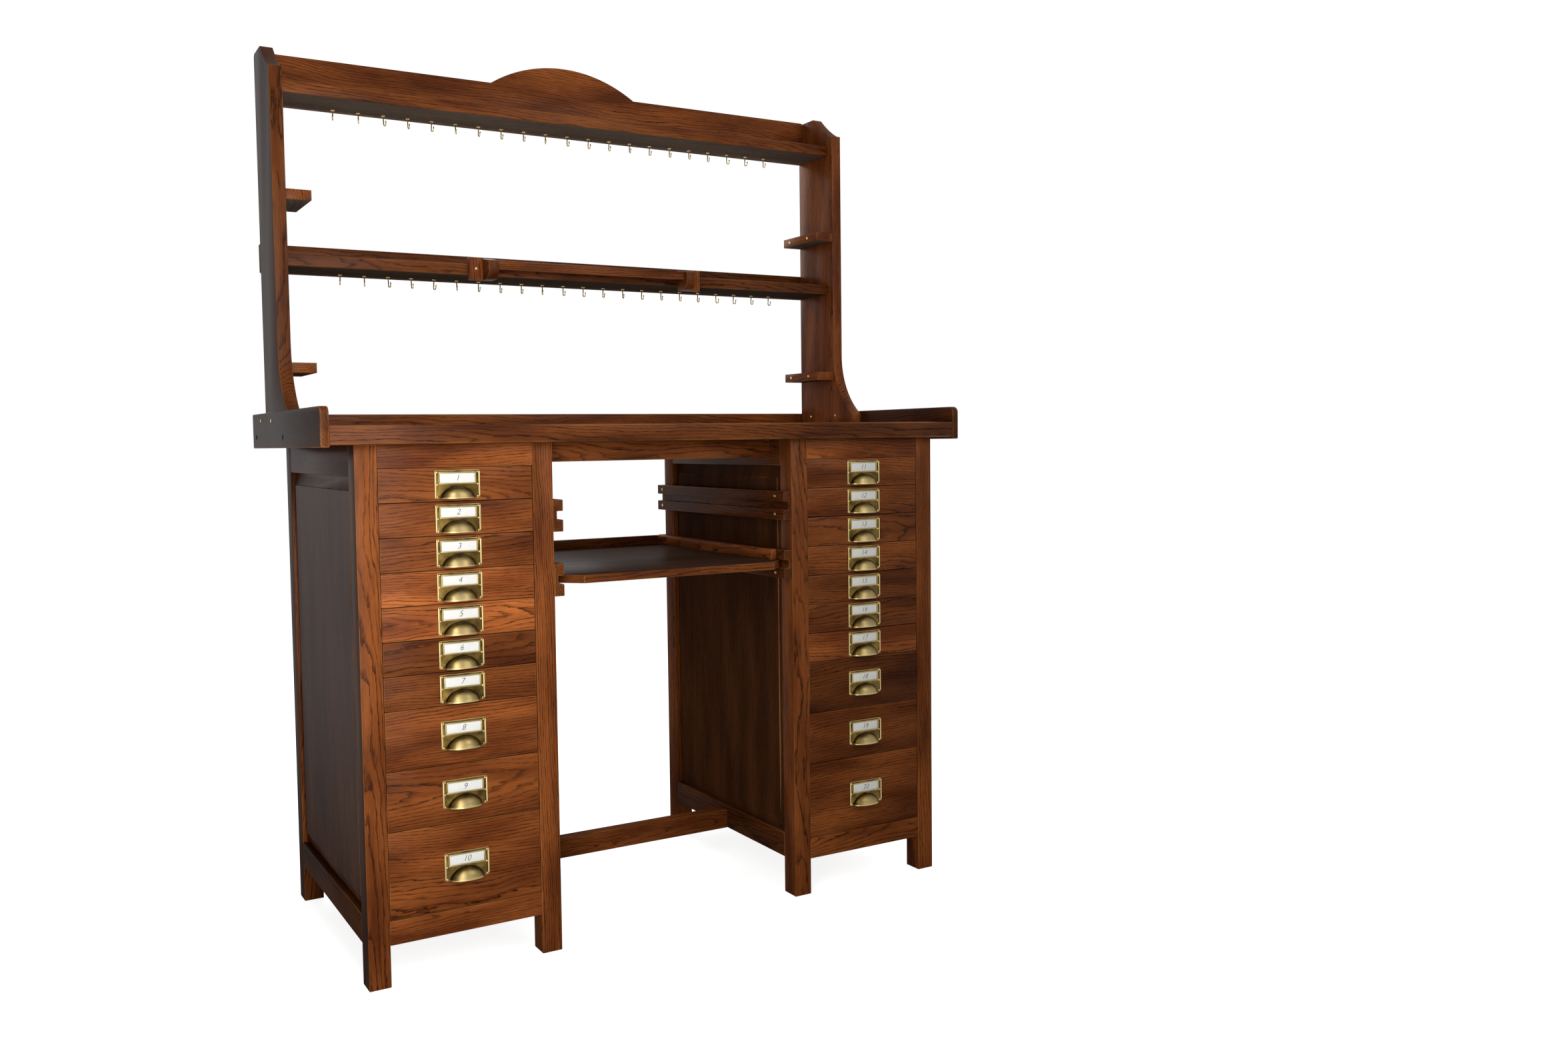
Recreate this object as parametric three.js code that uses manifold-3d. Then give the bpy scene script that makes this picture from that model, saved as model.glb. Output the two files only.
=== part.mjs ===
// Jeweller's bench: two drawer pedestals carry a worktop, and two uprights on it carry a tool gallery.
// Millimetres, +Z up. The front faces -Y and the origin is on the floor below the middle of the worktop.
import * as THREE from 'three';
import { mergeVertices } from 'three/addons/utils/BufferGeometryUtils.js';
import Module from 'manifold-3d';

const wasm = await Module();
wasm.setup();

// Clearances
const GLUE = 0.1; // glue line between boards that are fixed together
const RUN = 0.4; // running clearance of a drawer or tray on its runner
const ROOT = 5; // length that a tongue or tenon reaches into the piece that holds it

// Pedestals
const KNEE_W = 520; // clear width between the two pedestals
const PED_W = 360; // width of one pedestal
const PED_D = 562; // depth of one pedestal
const POST_W = 39; // post, seen from the front
const POST_D = 42; // post, seen from the side
const LEG_H = 74; // foot of a post below the lowest rail
const FRONT_LOW_RAIL_H = 43;
const FRONT_TOP_RAIL_H = 41;
const SIDE_LOW_RAIL_H = 51;
const SIDE_TOP_RAIL_H = 54;
const BACK_T = 8; // plain back of a pedestal
const BACK_INSET = 6; // plain back, in from the rear face of the posts

// Raised and fielded side panels
const PANEL_T = 14; // thickness at the raised field
const PANEL_TONGUE_T = 6; // thickness at the edge, which sits in a groove
const PANEL_SINK = 4; // field, in from the face of the frame
const PANEL_BEVEL_ENDS = 25; // bevel along the top and bottom edges
const PANEL_BEVEL_SIDES = 19; // bevel along the upright edges
const PANEL_GROOVE_D = 8; // groove in the posts and rails
const PANEL_CLEAR = 0.3; // panel in its groove
const GROOVE_BACK = 4; // rail left behind the groove

// Drawers
const SHALLOW_PITCH = 60.25; // height that a shallow drawer takes up
const MEDIUM_PITCH = 106;
const DEEP_PITCH = 156;
const FRONT_T = 18; // drawer front
const FRONT_SINK = 1.5; // drawer front, in from the face of the posts
const FRONT_GAP = 1.2; // between neighbouring drawer fronts
const DRAWER_SIDE_GAP = 1; // between a drawer and the post beside it
const DRAWER_SIDE_T = 14;
const DRAWER_BACK_T = 12;
const DRAWER_BOTTOM_T = 6;
const DRAWER_LIFT = 4; // box above the lower edge of its front
const DRAWER_DROP = 6; // box below the upper edge of its front
const DRAWER_REAR_GAP = 18; // behind a closed drawer
const RUNNER_H = 9; // wooden runner in the groove of a drawer side
const RUNNER_REACH = 6.5; // runner, out from the face of the posts
const RUNNER_RISE = 26; // runner above the lower edge of the drawer's space

// Cup pulls with a card window
const PULL_W = 82;
const PULL_H = 50;
const PULL_PLATE_T = 1.6;
const PULL_CORNER_R = 3;
const PULL_EDGE_W = 2.5; // raised bead down each side of the plate
const PULL_EDGE_T = 1.2;
const CARD_W = 63.5; // opening of the card window
const CARD_H = 17;
const CARD_RISE = 2.3; // window above the middle of the plate
const CARD_RIM_W = 2.2;
const CARD_RIM_T = 1.6;
const CUP_W = 62.6;
const CUP_H = 22;
const CUP_OUT = 17; // cup, out from the face of the plate
const CUP_T = 1.6;

// Worktop and the boards around it
const TOP_T = 33;
const TOP_FRONT = 22; // worktop ahead of the pedestals
const TOP_REAR = 29; // worktop behind the pedestals
const TOP_SIDE = 43.4; // worktop past the side of a pedestal
const END_T = 15.5; // end boards
const END_UP = 32.5; // end boards above the worktop
const END_DOWN = 4; // end boards below the worktop
const END_CORNER_R = 12;
const BACK_BOARD_T = 18;
const HOUSING_D = 5; // housings in the worktop for the uprights and the back board
const EDGE_EASE = 2; // eased long edges of shelves and worktop

// Kneehole
const APRON_T = 20;
const APRON_H = 37;
const APRON_INSET = 82; // apron behind the front of the pedestals
const STRETCHER_T = 28;
const STRETCHER_H = 42;
const STRETCHER_INSET = 280;
const TRAY_RUNNER_OUT = 19.4; // tray runner, out from the side of a pedestal
const TRAY_RUNNER_LOW_H = 22; // below the groove
const TRAY_RUNNER_TOP_H = 21; // above the groove
const TRAY_GROOVE_H = 16;
const TRAY_GROOVE_D = 12;
const UPPER_RUNNER_DROP = 105.5; // top of a runner below the worktop
const LOWER_RUNNER_DROP = 225;
const TRAY_FRONT = 15; // closed tray ahead of the pedestals
const TRAY_REAR_GAP = 7; // closed tray in from the rear of the pedestals
const TRAY_CORNER = 45; // front corners cut off
const TRAY_RIM_T = 12;
const TRAY_RIM_H = 21;

// Uprights
const UP_T = 25.5;
const UP_D = 143;
const UP_REAR = 58; // worktop left behind an upright
const FOOT_REACH = 78; // foot ahead of the upright
const FOOT_CURVE_H = 144;
const FOOT_TOE_H = 25;
const UP_OVER_SHELF = 44; // front of an upright above the underside of the top shelf
const EAR_H = 55; // rear ear above the front
const EAR_LAND = 57; // level top of the ear
const EAR_CORNER = 6; // cut rear corner of the ear
const EAR_STEP = 6; // level step at the front
const EAR_SAG = 9; // hollow of the slope in front of the ear

// Tool brackets on the uprights
const LOW_BRACKET_RISE = 109; // bracket above the worktop
const HIGH_BRACKET_RISE = 443;
const BRACKET_H = 20;
const BRACKET_W = 48;

// Shelves, crest and back rail
const SHELF_T = 23.5;
const SHELF_INSET = 18; // front edge of a shelf behind the front of the uprights
const MID_SHELF_RISE = 318; // underside above the worktop
const TOP_SHELF_RISE = 651;
const CREST_T = 15;
const CREST_UP = 101; // crest above the top shelf's underside
const ARCH_HALF = 172; // half width of the arch on the crest
const ARCH_RISE = 51;
const BACK_RAIL_T = 15;
const BACK_RAIL_H = 57;

// Cup hooks
const HOOK_WIRE = 2.4; // wire diameter
const HOOK_SIDES = 5; // flats round the wire
const HOOK_STEPS = 9; // lengths along the wire
const HOOK_R = 4.6; // bend, to the middle of the wire
const HOOK_DROP = 23;
const HOOK_TIP = 11; // rise of the tip above the lowest point
const HOOK_REAR = 25; // shank in front of the rear of the uprights
const TOP_HOOK_PITCH = 51.8;
const TOP_HOOK_MARGIN = 121; // first hook, in from the end of the shelf
const MID_HOOK_PITCH = 49.5;
const MID_HOOK_LEFT = 126;
const MID_HOOK_RIGHT = 111;

// Plier rail in front of the middle shelf
const PLIER_W = 546; // over the pads
const PLIER_PAD_W = 30; // pads that are screwed to the shelf
const PLIER_PAD_T = 12;
const PLIER_ARM_W = 22; // arms beside the pads
const PLIER_UP = 36; // pads above the shelf's underside
const PLIER_DOWN = 11; // pads below the shelf's underside
const PLIER_SLOT = 24; // gap between rail and shelf
const PLIER_T = 11; // rail between the arms
const PLIER_NOSE = 12; // arms ahead of the rail
const PLIER_NOSE_R = 21; // rounded lower corner of an arm
const PLIER_NOSE_DROP = 9; // fall of an arm's upper edge to the front
const PLIER_RAIL_RISE = 11; // rail above the shelf's underside
const PLIER_RAIL_H = 18;

// Places that follow from the sizes
const DRAWER_PITCHES = [...Array(7).fill(SHALLOW_PITCH), MEDIUM_PITCH, MEDIUM_PITCH, DEEP_PITCH];
const BAY_H = DRAWER_PITCHES.reduce((sum, pitch) => sum + pitch, 0);
const BAY_LOW = LEG_H + FRONT_LOW_RAIL_H;
const PED_H = BAY_LOW + BAY_H + FRONT_TOP_RAIL_H;
const RAIL_T = PANEL_SINK + PANEL_T + GROOVE_BACK;
const TOP_LOW = PED_H + GLUE;
const TOP_Z = TOP_LOW + TOP_T;
const HOUSED_Z = TOP_Z - HOUSING_D + GLUE; // foot of what stands in the worktop
const TOP_D = TOP_FRONT + PED_D + TOP_REAR;
const FRONT_Y = TOP_FRONT - TOP_D / 2; // front of the pedestals
const REAR_Y = FRONT_Y + PED_D;
const KNEE_X = KNEE_W / 2;
const TOP_X = KNEE_X + PED_W + TOP_SIDE;
const UP_X = TOP_X - UP_T; // inner face of an upright
const UP_REAR_Y = TOP_D / 2 - UP_REAR;
const UP_FRONT_Y = UP_REAR_Y - UP_D;
const SHELF_X = UP_X - GLUE;
const SHELF_Y = UP_FRONT_Y + SHELF_INSET;
const MID_SHELF_Z = TOP_Z + MID_SHELF_RISE;
const TOP_SHELF_Z = TOP_Z + TOP_SHELF_RISE;
const CREST_Y = UP_REAR_Y - CREST_T;

const OAK = new THREE.MeshStandardMaterial({ color: 0x5a3620, roughness: 0.45, metalness: 0 });
const DARK_OAK = new THREE.MeshStandardMaterial({ color: 0x3a2418, roughness: 0.5, metalness: 0 });
const BRASS = new THREE.MeshStandardMaterial({ color: 0xa9853f, roughness: 0.35, metalness: 1 });

// A closed geometry as a solid that can be joined and cut
function solid(geometry) {
  geometry.deleteAttribute('normal');
  geometry.deleteAttribute('uv');
  const merged = mergeVertices(geometry, 1e-4);
  return new wasm.Manifold(new wasm.Mesh({
    numProp: 3,
    vertProperties: new Float32Array(merged.attributes.position.array),
    triVerts: new Uint32Array(merged.index.array),
  }));
}

// A solid as a geometry for a mesh
function surface(body) {
  const { vertProperties, triVerts } = body.getMesh();
  const geometry = new THREE.BufferGeometry();
  geometry.setAttribute('position', new THREE.BufferAttribute(vertProperties, 3));
  geometry.setIndex(new THREE.BufferAttribute(triVerts, 1));
  geometry.computeVertexNormals();
  return geometry;
}

function join(bodies) {
  return bodies.reduce((whole, body) => whole.add(body));
}

// A squared board between two limits on each axis
function board(x, y, z) {
  const geometry = new THREE.BoxGeometry(x[1] - x[0], y[1] - y[0], z[1] - z[0]);
  geometry.translate((x[0] + x[1]) / 2, (y[0] + y[1]) / 2, (z[0] + z[1]) / 2);
  return solid(geometry);
}

// Two distances from the middle plane as limits on the left (-1) or the right (1)
function sided(side, near, far) {
  return side > 0 ? [near, far] : [-far, -near];
}

function extruded(shape, depth, curveSegments) {
  return new THREE.ExtrudeGeometry(shape, { depth, bevelEnabled: false, curveSegments });
}

// A profile of Y and Z, run along X
function alongX(shape, x, curveSegments = 8) {
  const geometry = extruded(shape, x[1] - x[0], curveSegments);
  const turn = new THREE.Matrix4().makeBasis(
    new THREE.Vector3(0, 1, 0),
    new THREE.Vector3(0, 0, 1),
    new THREE.Vector3(1, 0, 0),
  );
  geometry.applyMatrix4(turn);
  geometry.translate(x[0], 0, 0);
  return solid(geometry);
}

// A profile of X and Z, run along Y
function alongY(shape, y, curveSegments = 8) {
  const geometry = extruded(shape, y[1] - y[0], curveSegments);
  geometry.rotateX(Math.PI / 2);
  geometry.translate(0, y[1], 0);
  return solid(geometry);
}

// A profile of X and Y, run along Z
function alongZ(shape, z, curveSegments = 8) {
  const geometry = extruded(shape, z[1] - z[0], curveSegments);
  geometry.translate(0, 0, z[0]);
  return solid(geometry);
}

function outline(points) {
  return new THREE.Shape(points.map(([across, up]) => new THREE.Vector2(across, up)));
}

// Section of a board whose two front edges are eased
function easedSection(y, z) {
  return outline([
    [y[0] + EDGE_EASE, z[0]],
    [y[1], z[0]],
    [y[1], z[1]],
    [y[0] + EDGE_EASE, z[1]],
    [y[0], z[1] - EDGE_EASE],
    [y[0], z[0] + EDGE_EASE],
  ]);
}

// Worktop: a thick board with shallow housings for the feet of the uprights and for the back board
function worktop() {
  const section = easedSection([-TOP_D / 2, TOP_D / 2], [TOP_LOW, TOP_Z]);
  const depth = [TOP_Z - HOUSING_D, TOP_Z + ROOT];
  const footY = [UP_FRONT_Y - FOOT_REACH - GLUE, UP_REAR_Y + GLUE];
  const backY = [TOP_D / 2 - BACK_BOARD_T - GLUE, TOP_D / 2 + ROOT];
  const housings = [
    board(sided(-1, UP_X - GLUE, TOP_X + ROOT), footY, depth),
    board(sided(1, UP_X - GLUE, TOP_X + ROOT), footY, depth),
    board([-TOP_X - ROOT, TOP_X + ROOT], backY, depth),
  ];
  return housings.reduce((whole, housing) => whole.subtract(housing), alongX(section, [-TOP_X, TOP_X]));
}

// End board: a strip on the end grain of the worktop with its upper front corner rounded
function endBoard(side) {
  const low = TOP_LOW - END_DOWN;
  const high = TOP_Z + END_UP;
  const shape = outline([[TOP_D / 2, high], [TOP_D / 2, low], [-TOP_D / 2, low]]);
  shape.lineTo(-TOP_D / 2, high - END_CORNER_R);
  shape.absarc(END_CORNER_R - TOP_D / 2, high - END_CORNER_R, END_CORNER_R, Math.PI, Math.PI / 2, true);
  return alongX(shape, sided(side, TOP_X + GLUE, TOP_X + GLUE + END_T));
}

function backBoard() {
  const section = easedSection([TOP_D / 2 - BACK_BOARD_T, TOP_D / 2], [HOUSED_Z, TOP_Z + END_UP]);
  return alongX(section, [-TOP_X, TOP_X]);
}

// Tray runner: a strip with a groove along its inner face, tenoned into the posts
function trayRunner(side, drop) {
  const top = TOP_LOW - drop;
  const grooveTop = top - TRAY_RUNNER_TOP_H;
  const grooveLow = grooveTop - TRAY_GROOVE_H;
  const low = grooveLow - TRAY_RUNNER_LOW_H;
  const face = side * (KNEE_X - TRAY_RUNNER_OUT);
  const groove = side * (KNEE_X - TRAY_RUNNER_OUT + TRAY_GROOVE_D);
  const back = side * (KNEE_X + PANEL_SINK / 2);
  const section = outline([
    [back, low],
    [face, low],
    [face, grooveLow],
    [groove, grooveLow],
    [groove, grooveTop],
    [face, grooveTop],
    [face, top],
    [back, top],
  ]);
  return alongY(section, [FRONT_Y, REAR_Y]);
}

// Space of one drawer, counted from the top, as the limits of its height
function drawerSpace(row) {
  const above = DRAWER_PITCHES.slice(0, row).reduce((sum, pitch) => sum + pitch, 0);
  const top = BAY_LOW + BAY_H - above;
  return [top - DRAWER_PITCHES[row], top];
}

// One pedestal without panels: posts, rails, plain back, drawer runners and tray runners
function pedestalFrame(side) {
  const near = KNEE_X;
  const far = KNEE_X + PED_W;
  const faces = [[near, near + POST_W], [far - POST_W, far]];
  const ends = [[FRONT_Y, FRONT_Y + POST_D], [REAR_Y - POST_D, REAR_Y]];
  const railEnds = [[FRONT_Y, FRONT_Y + RAIL_T], [REAR_Y - RAIL_T, REAR_Y]];
  const sideRails = [[near, near + RAIL_T], [far - RAIL_T, far]];
  const betweenPosts = [near + POST_W - ROOT, far - POST_W + ROOT];
  const betweenEnds = [FRONT_Y + POST_D - ROOT, REAR_Y - POST_D + ROOT];
  const pieces = [];
  for (const face of faces) {
    for (const end of ends) {
      pieces.push(board(sided(side, ...face), end, [0, PED_H]));
    }
  }
  for (const end of railEnds) {
    pieces.push(board(sided(side, ...betweenPosts), end, [LEG_H, BAY_LOW]));
    pieces.push(board(sided(side, ...betweenPosts), end, [PED_H - FRONT_TOP_RAIL_H, PED_H]));
  }
  for (const rail of sideRails) {
    pieces.push(board(sided(side, ...rail), betweenEnds, [LEG_H, LEG_H + SIDE_LOW_RAIL_H]));
    pieces.push(board(sided(side, ...rail), betweenEnds, [PED_H - SIDE_TOP_RAIL_H, PED_H]));
  }
  const back = [REAR_Y - BACK_INSET - BACK_T, REAR_Y - BACK_INSET];
  const backHeight = [BAY_LOW - ROOT, PED_H - FRONT_TOP_RAIL_H + ROOT];
  pieces.push(board(sided(side, ...betweenPosts), back, backHeight));
  DRAWER_PITCHES.forEach((pitch, row) => {
    const low = drawerSpace(row)[0] + RUNNER_RISE;
    const nearRunner = [near + POST_W - RUNNER_REACH, near + POST_W + RUNNER_REACH];
    const farRunner = [far - POST_W - RUNNER_REACH, far - POST_W + RUNNER_REACH];
    pieces.push(board(sided(side, ...nearRunner), betweenEnds, [low, low + RUNNER_H]));
    pieces.push(board(sided(side, ...farRunner), betweenEnds, [low, low + RUNNER_H]));
  });
  pieces.push(trayRunner(side, UPPER_RUNNER_DROP));
  pieces.push(trayRunner(side, LOWER_RUNNER_DROP));
  const grooveY = [FRONT_Y + POST_D - PANEL_GROOVE_D, REAR_Y - POST_D + PANEL_GROOVE_D];
  const grooveZ = [
    LEG_H + SIDE_LOW_RAIL_H - PANEL_GROOVE_D,
    PED_H - SIDE_TOP_RAIL_H + PANEL_GROOVE_D,
  ];
  const tongueBack = PANEL_SINK + PANEL_T + PANEL_CLEAR;
  const tongueFace = PANEL_SINK + PANEL_T - PANEL_TONGUE_T - PANEL_CLEAR;
  const grooves = [
    board(sided(side, near + tongueFace, near + tongueBack), grooveY, grooveZ),
    board(sided(side, far - tongueBack, far - tongueFace), grooveY, grooveZ),
  ];
  return grooves.reduce((whole, groove) => whole.subtract(groove), join(pieces));
}

// Section through a raised panel: flat back, tongue at both edges, bevels up to the field
function panelSection(low, high, back, outward, bevel) {
  const tongue = back + outward * PANEL_TONGUE_T;
  const field = back + outward * PANEL_T;
  const shoulder = PANEL_GROOVE_D - PANEL_CLEAR;
  return [
    [back, low],
    [back, high],
    [tongue, high],
    [tongue, high - shoulder],
    [field, high - shoulder - bevel],
    [field, low + shoulder + bevel],
    [tongue, low + shoulder],
    [tongue, low],
  ];
}

// A side panel is where its upright section and its level section meet
function sidePanel(side, isOuter) {
  const outward = isOuter ? side : -side;
  const face = side * (isOuter ? KNEE_X + PED_W : KNEE_X);
  const back = face - outward * (PANEL_SINK + PANEL_T);
  const reach = PANEL_GROOVE_D - PANEL_CLEAR;
  const y = [FRONT_Y + POST_D - reach, REAR_Y - POST_D + reach];
  const z = [LEG_H + SIDE_LOW_RAIL_H - reach, PED_H - SIDE_TOP_RAIL_H + reach];
  const upright = outline(panelSection(z[0], z[1], back, outward, PANEL_BEVEL_ENDS));
  const level = outline(panelSection(y[0], y[1], back, outward, PANEL_BEVEL_SIDES));
  return alongY(upright, y).intersect(alongZ(level, z));
}

function apron() {
  const y = FRONT_Y + APRON_INSET;
  return board([GLUE - KNEE_X, KNEE_X - GLUE], [y, y + APRON_T], [PED_H - APRON_H, PED_H]);
}

function stretcher() {
  const y = FRONT_Y + STRETCHER_INSET;
  return board([GLUE - KNEE_X, KNEE_X - GLUE], [y, y + STRETCHER_T], [LEG_H, LEG_H + STRETCHER_H]);
}

// Catch tray: a board with cut front corners that slides in the lower runners, rimmed on three sides
function catchTray() {
  const grooveTop = TOP_LOW - LOWER_RUNNER_DROP - TRAY_RUNNER_TOP_H;
  const low = grooveTop - TRAY_GROOVE_H + RUN;
  const high = grooveTop - RUN;
  const x = KNEE_X - TRAY_RUNNER_OUT + TRAY_GROOVE_D - RUN;
  const rimX = KNEE_X - TRAY_RUNNER_OUT - RUN;
  const front = FRONT_Y - TRAY_FRONT;
  const rear = REAR_Y - TRAY_REAR_GAP;
  const plan = outline([
    [-x, rear],
    [-x, front + TRAY_CORNER],
    [TRAY_CORNER - x, front],
    [x - TRAY_CORNER, front],
    [x, front + TRAY_CORNER],
    [x, rear],
  ]);
  const rimZ = [low, high + TRAY_RIM_H];
  const rims = [
    board([-rimX, TRAY_RIM_T - rimX], [front + TRAY_CORNER, rear], rimZ),
    board([rimX - TRAY_RIM_T, rimX], [front + TRAY_CORNER, rear], rimZ),
    board([-rimX, rimX], [rear - TRAY_RIM_T, rear], rimZ),
  ];
  return join([alongZ(plan, [low, high]), ...rims]);
}

// Drawer: a front and an open box, with a runner groove along the outside of both sides
function drawer(side, row) {
  const [low, high] = drawerSpace(row);
  const middle = side * (KNEE_X + PED_W / 2);
  const half = PED_W / 2 - POST_W - DRAWER_SIDE_GAP;
  const front = [FRONT_Y + FRONT_SINK, FRONT_Y + FRONT_SINK + FRONT_T];
  const frontZ = [low + FRONT_GAP / 2, high - FRONT_GAP / 2];
  const rear = REAR_Y - BACK_INSET - BACK_T - DRAWER_REAR_GAP;
  const boxZ = [frontZ[0] + DRAWER_LIFT, frontZ[1] - DRAWER_DROP];
  const across = [middle - half, middle + half];
  const inside = board(
    [across[0] + DRAWER_SIDE_T, across[1] - DRAWER_SIDE_T],
    [front[1], rear - DRAWER_BACK_T],
    [boxZ[0] + DRAWER_BOTTOM_T, boxZ[1] + DRAWER_DROP],
  );
  const grooveDepth = RUNNER_REACH - DRAWER_SIDE_GAP + RUN;
  const grooveY = [front[1] + DRAWER_SIDE_T, rear + ROOT];
  const grooveZ = [low + RUNNER_RISE - RUN, low + RUNNER_RISE + RUNNER_H + RUN];
  const box = board(across, [front[1] - ROOT, rear], boxZ)
    .subtract(inside)
    .subtract(board([across[0] - ROOT, across[0] + grooveDepth], grooveY, grooveZ))
    .subtract(board([across[1] - grooveDepth, across[1] + ROOT], grooveY, grooveZ));
  return box.add(board(across, front, frontZ));
}

function roundedRectangle(width, height, radius) {
  const shape = new THREE.Shape();
  const x = width / 2;
  const z = height / 2;
  shape.moveTo(radius - x, -z);
  shape.lineTo(x - radius, -z);
  shape.absarc(x - radius, radius - z, radius, -Math.PI / 2, 0, false);
  shape.absarc(x - radius, z - radius, radius, 0, Math.PI / 2, false);
  shape.absarc(radius - x, z - radius, radius, Math.PI / 2, Math.PI, false);
  shape.absarc(radius - x, radius - z, radius, Math.PI, Math.PI * 1.5, false);
  return shape;
}

// Half of a cup seen from outside: an ellipsoid about the lower edge of the plate
function cupForm(half, height, out) {
  const geometry = new THREE.SphereGeometry(1, 12, 10);
  geometry.rotateZ(Math.PI / 2);
  geometry.scale(half, out, height);
  geometry.translate(0, -PULL_PLATE_T, -PULL_H / 2);
  return solid(geometry);
}

// Pull: a plate with beaded sides, a rimmed card window and a hollow cup open at the bottom.
// Its back lies on Y = 0 and its middle is at the origin.
function pull() {
  const plate = alongY(roundedRectangle(PULL_W, PULL_H, PULL_CORNER_R), [-PULL_PLATE_T, 0], 1);
  const beadZ = [PULL_CORNER_R - PULL_H / 2, PULL_H / 2 - PULL_CORNER_R];
  const beadY = [-PULL_PLATE_T - PULL_EDGE_T, -PULL_PLATE_T / 2];
  const beads = [-1, 1].map((side) => board(sided(side, PULL_W / 2 - PULL_EDGE_W, PULL_W / 2), beadY, beadZ));
  const rimX = CARD_W / 2 + CARD_RIM_W;
  const rimY = [-PULL_PLATE_T - CARD_RIM_T, -PULL_PLATE_T / 2];
  const rim = board([-rimX, rimX], rimY, [CARD_RISE - CARD_RIM_W, CARD_RISE + CARD_H + CARD_RIM_W]);
  const windowY = [rimY[0] - ROOT, -PULL_PLATE_T];
  const cardWindow = board([-CARD_W / 2, CARD_W / 2], windowY, [CARD_RISE, CARD_RISE + CARD_H]);
  const outer = cupForm(CUP_W / 2, CUP_H, CUP_OUT);
  const inner = cupForm(CUP_W / 2 - CUP_T, CUP_H - CUP_T, CUP_OUT - CUP_T);
  const front = -PULL_PLATE_T - CUP_OUT - ROOT;
  const ahead = board([-PULL_W, PULL_W], [front, -PULL_PLATE_T / 2], [-PULL_H / 2, PULL_H]);
  const hollow = board([-PULL_W, PULL_W], [front, -PULL_PLATE_T], [-PULL_H, PULL_H]);
  const cup = outer.intersect(ahead).subtract(inner.intersect(hollow));
  return join([plate, ...beads, rim.subtract(cardWindow), cup]);
}

// Upright: a flared foot, a straight blade and a rear ear behind a hollowed slope
function uprightBlade(side) {
  const shelfFront = TOP_SHELF_Z + UP_OVER_SHELF;
  const earTop = shelfFront + EAR_H;
  const slopeTop = UP_REAR_Y - EAR_CORNER - EAR_LAND;
  const slopeLow = UP_FRONT_Y + EAR_STEP;
  const footR = (FOOT_REACH ** 2 + FOOT_CURVE_H ** 2) / (2 * FOOT_REACH);
  const footTop = TOP_Z + FOOT_TOE_H + FOOT_CURVE_H;
  const footAngle = Math.atan2(FOOT_CURVE_H, footR - FOOT_REACH);
  const shape = outline([
    [UP_REAR_Y, HOUSED_Z],
    [UP_REAR_Y, earTop - EAR_CORNER],
    [UP_REAR_Y - EAR_CORNER, earTop],
    [slopeTop, earTop],
  ]);
  const middle = [(slopeTop + slopeLow) / 2, (earTop + shelfFront) / 2 - EAR_SAG];
  shape.quadraticCurveTo(middle[0], middle[1], slopeLow, shelfFront);
  shape.lineTo(UP_FRONT_Y, shelfFront);
  shape.lineTo(UP_FRONT_Y, footTop);
  shape.absarc(UP_FRONT_Y - footR, footTop, footR, 0, -footAngle, true);
  shape.lineTo(UP_FRONT_Y - FOOT_REACH, HOUSED_Z);
  return alongX(shape, sided(side, UP_X, TOP_X));
}

// Bracket: a block as deep as the upright, on its inner face
function bracket(side, rise) {
  const low = TOP_Z + rise;
  const x = sided(side, UP_X - BRACKET_W, UP_X + ROOT);
  return board(x, [UP_FRONT_Y, UP_REAR_Y], [low, low + BRACKET_H]);
}

function upright(side) {
  return join([uprightBlade(side), bracket(side, LOW_BRACKET_RISE), bracket(side, HIGH_BRACKET_RISE)]);
}

// Cup hook that opens to the front, screwed up into a shelf whose underside is at the given height
function hook(x, under) {
  const bendZ = under - HOOK_DROP + HOOK_WIRE / 2 + HOOK_R;
  const shankY = UP_REAR_Y - HOOK_REAR;
  const tipZ = under - HOOK_DROP + HOOK_TIP;
  const path = new THREE.CurvePath();
  const place = (y, z) => new THREE.Vector3(x, y, z);
  path.add(new THREE.LineCurve3(place(shankY, under + ROOT), place(shankY, bendZ)));
  const corner = bendZ - HOOK_R * 4 / 3;
  path.add(new THREE.CubicBezierCurve3(
    place(shankY, bendZ),
    place(shankY, corner),
    place(shankY - 2 * HOOK_R, corner),
    place(shankY - 2 * HOOK_R, bendZ),
  ));
  path.add(new THREE.LineCurve3(place(shankY - 2 * HOOK_R, bendZ), place(shankY - 2 * HOOK_R, tipZ)));
  const corners = Array.from({ length: HOOK_SIDES }, (_, i) => i * Math.PI * 2 / HOOK_SIDES);
  const wire = outline(corners.map((a) => [HOOK_WIRE / 2 * Math.cos(a), HOOK_WIRE / 2 * Math.sin(a)]));
  return solid(new THREE.ExtrudeGeometry(wire, { steps: HOOK_STEPS, extrudePath: path }));
}

// Row of hooks spread evenly between two ends at about the given pitch
function hookRow(first, last, pitch, under) {
  const gaps = Math.round((last - first) / pitch);
  return Array.from({ length: gaps + 1 }, (_, i) => hook(first + (last - first) * i / gaps, under));
}

function middleShelf() {
  const section = easedSection([SHELF_Y, UP_REAR_Y - GLUE], [MID_SHELF_Z, MID_SHELF_Z + SHELF_T]);
  const hooks = hookRow(MID_HOOK_LEFT - SHELF_X, SHELF_X - MID_HOOK_RIGHT, MID_HOOK_PITCH, MID_SHELF_Z);
  return join([alongX(section, [-SHELF_X, SHELF_X]), ...hooks]);
}

function topShelf() {
  const section = easedSection([SHELF_Y, CREST_Y - GLUE], [TOP_SHELF_Z, TOP_SHELF_Z + SHELF_T]);
  const last = SHELF_X - TOP_HOOK_MARGIN;
  const hooks = hookRow(-last, last, TOP_HOOK_PITCH, TOP_SHELF_Z);
  return join([alongX(section, [-SHELF_X, SHELF_X]), ...hooks]);
}

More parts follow.
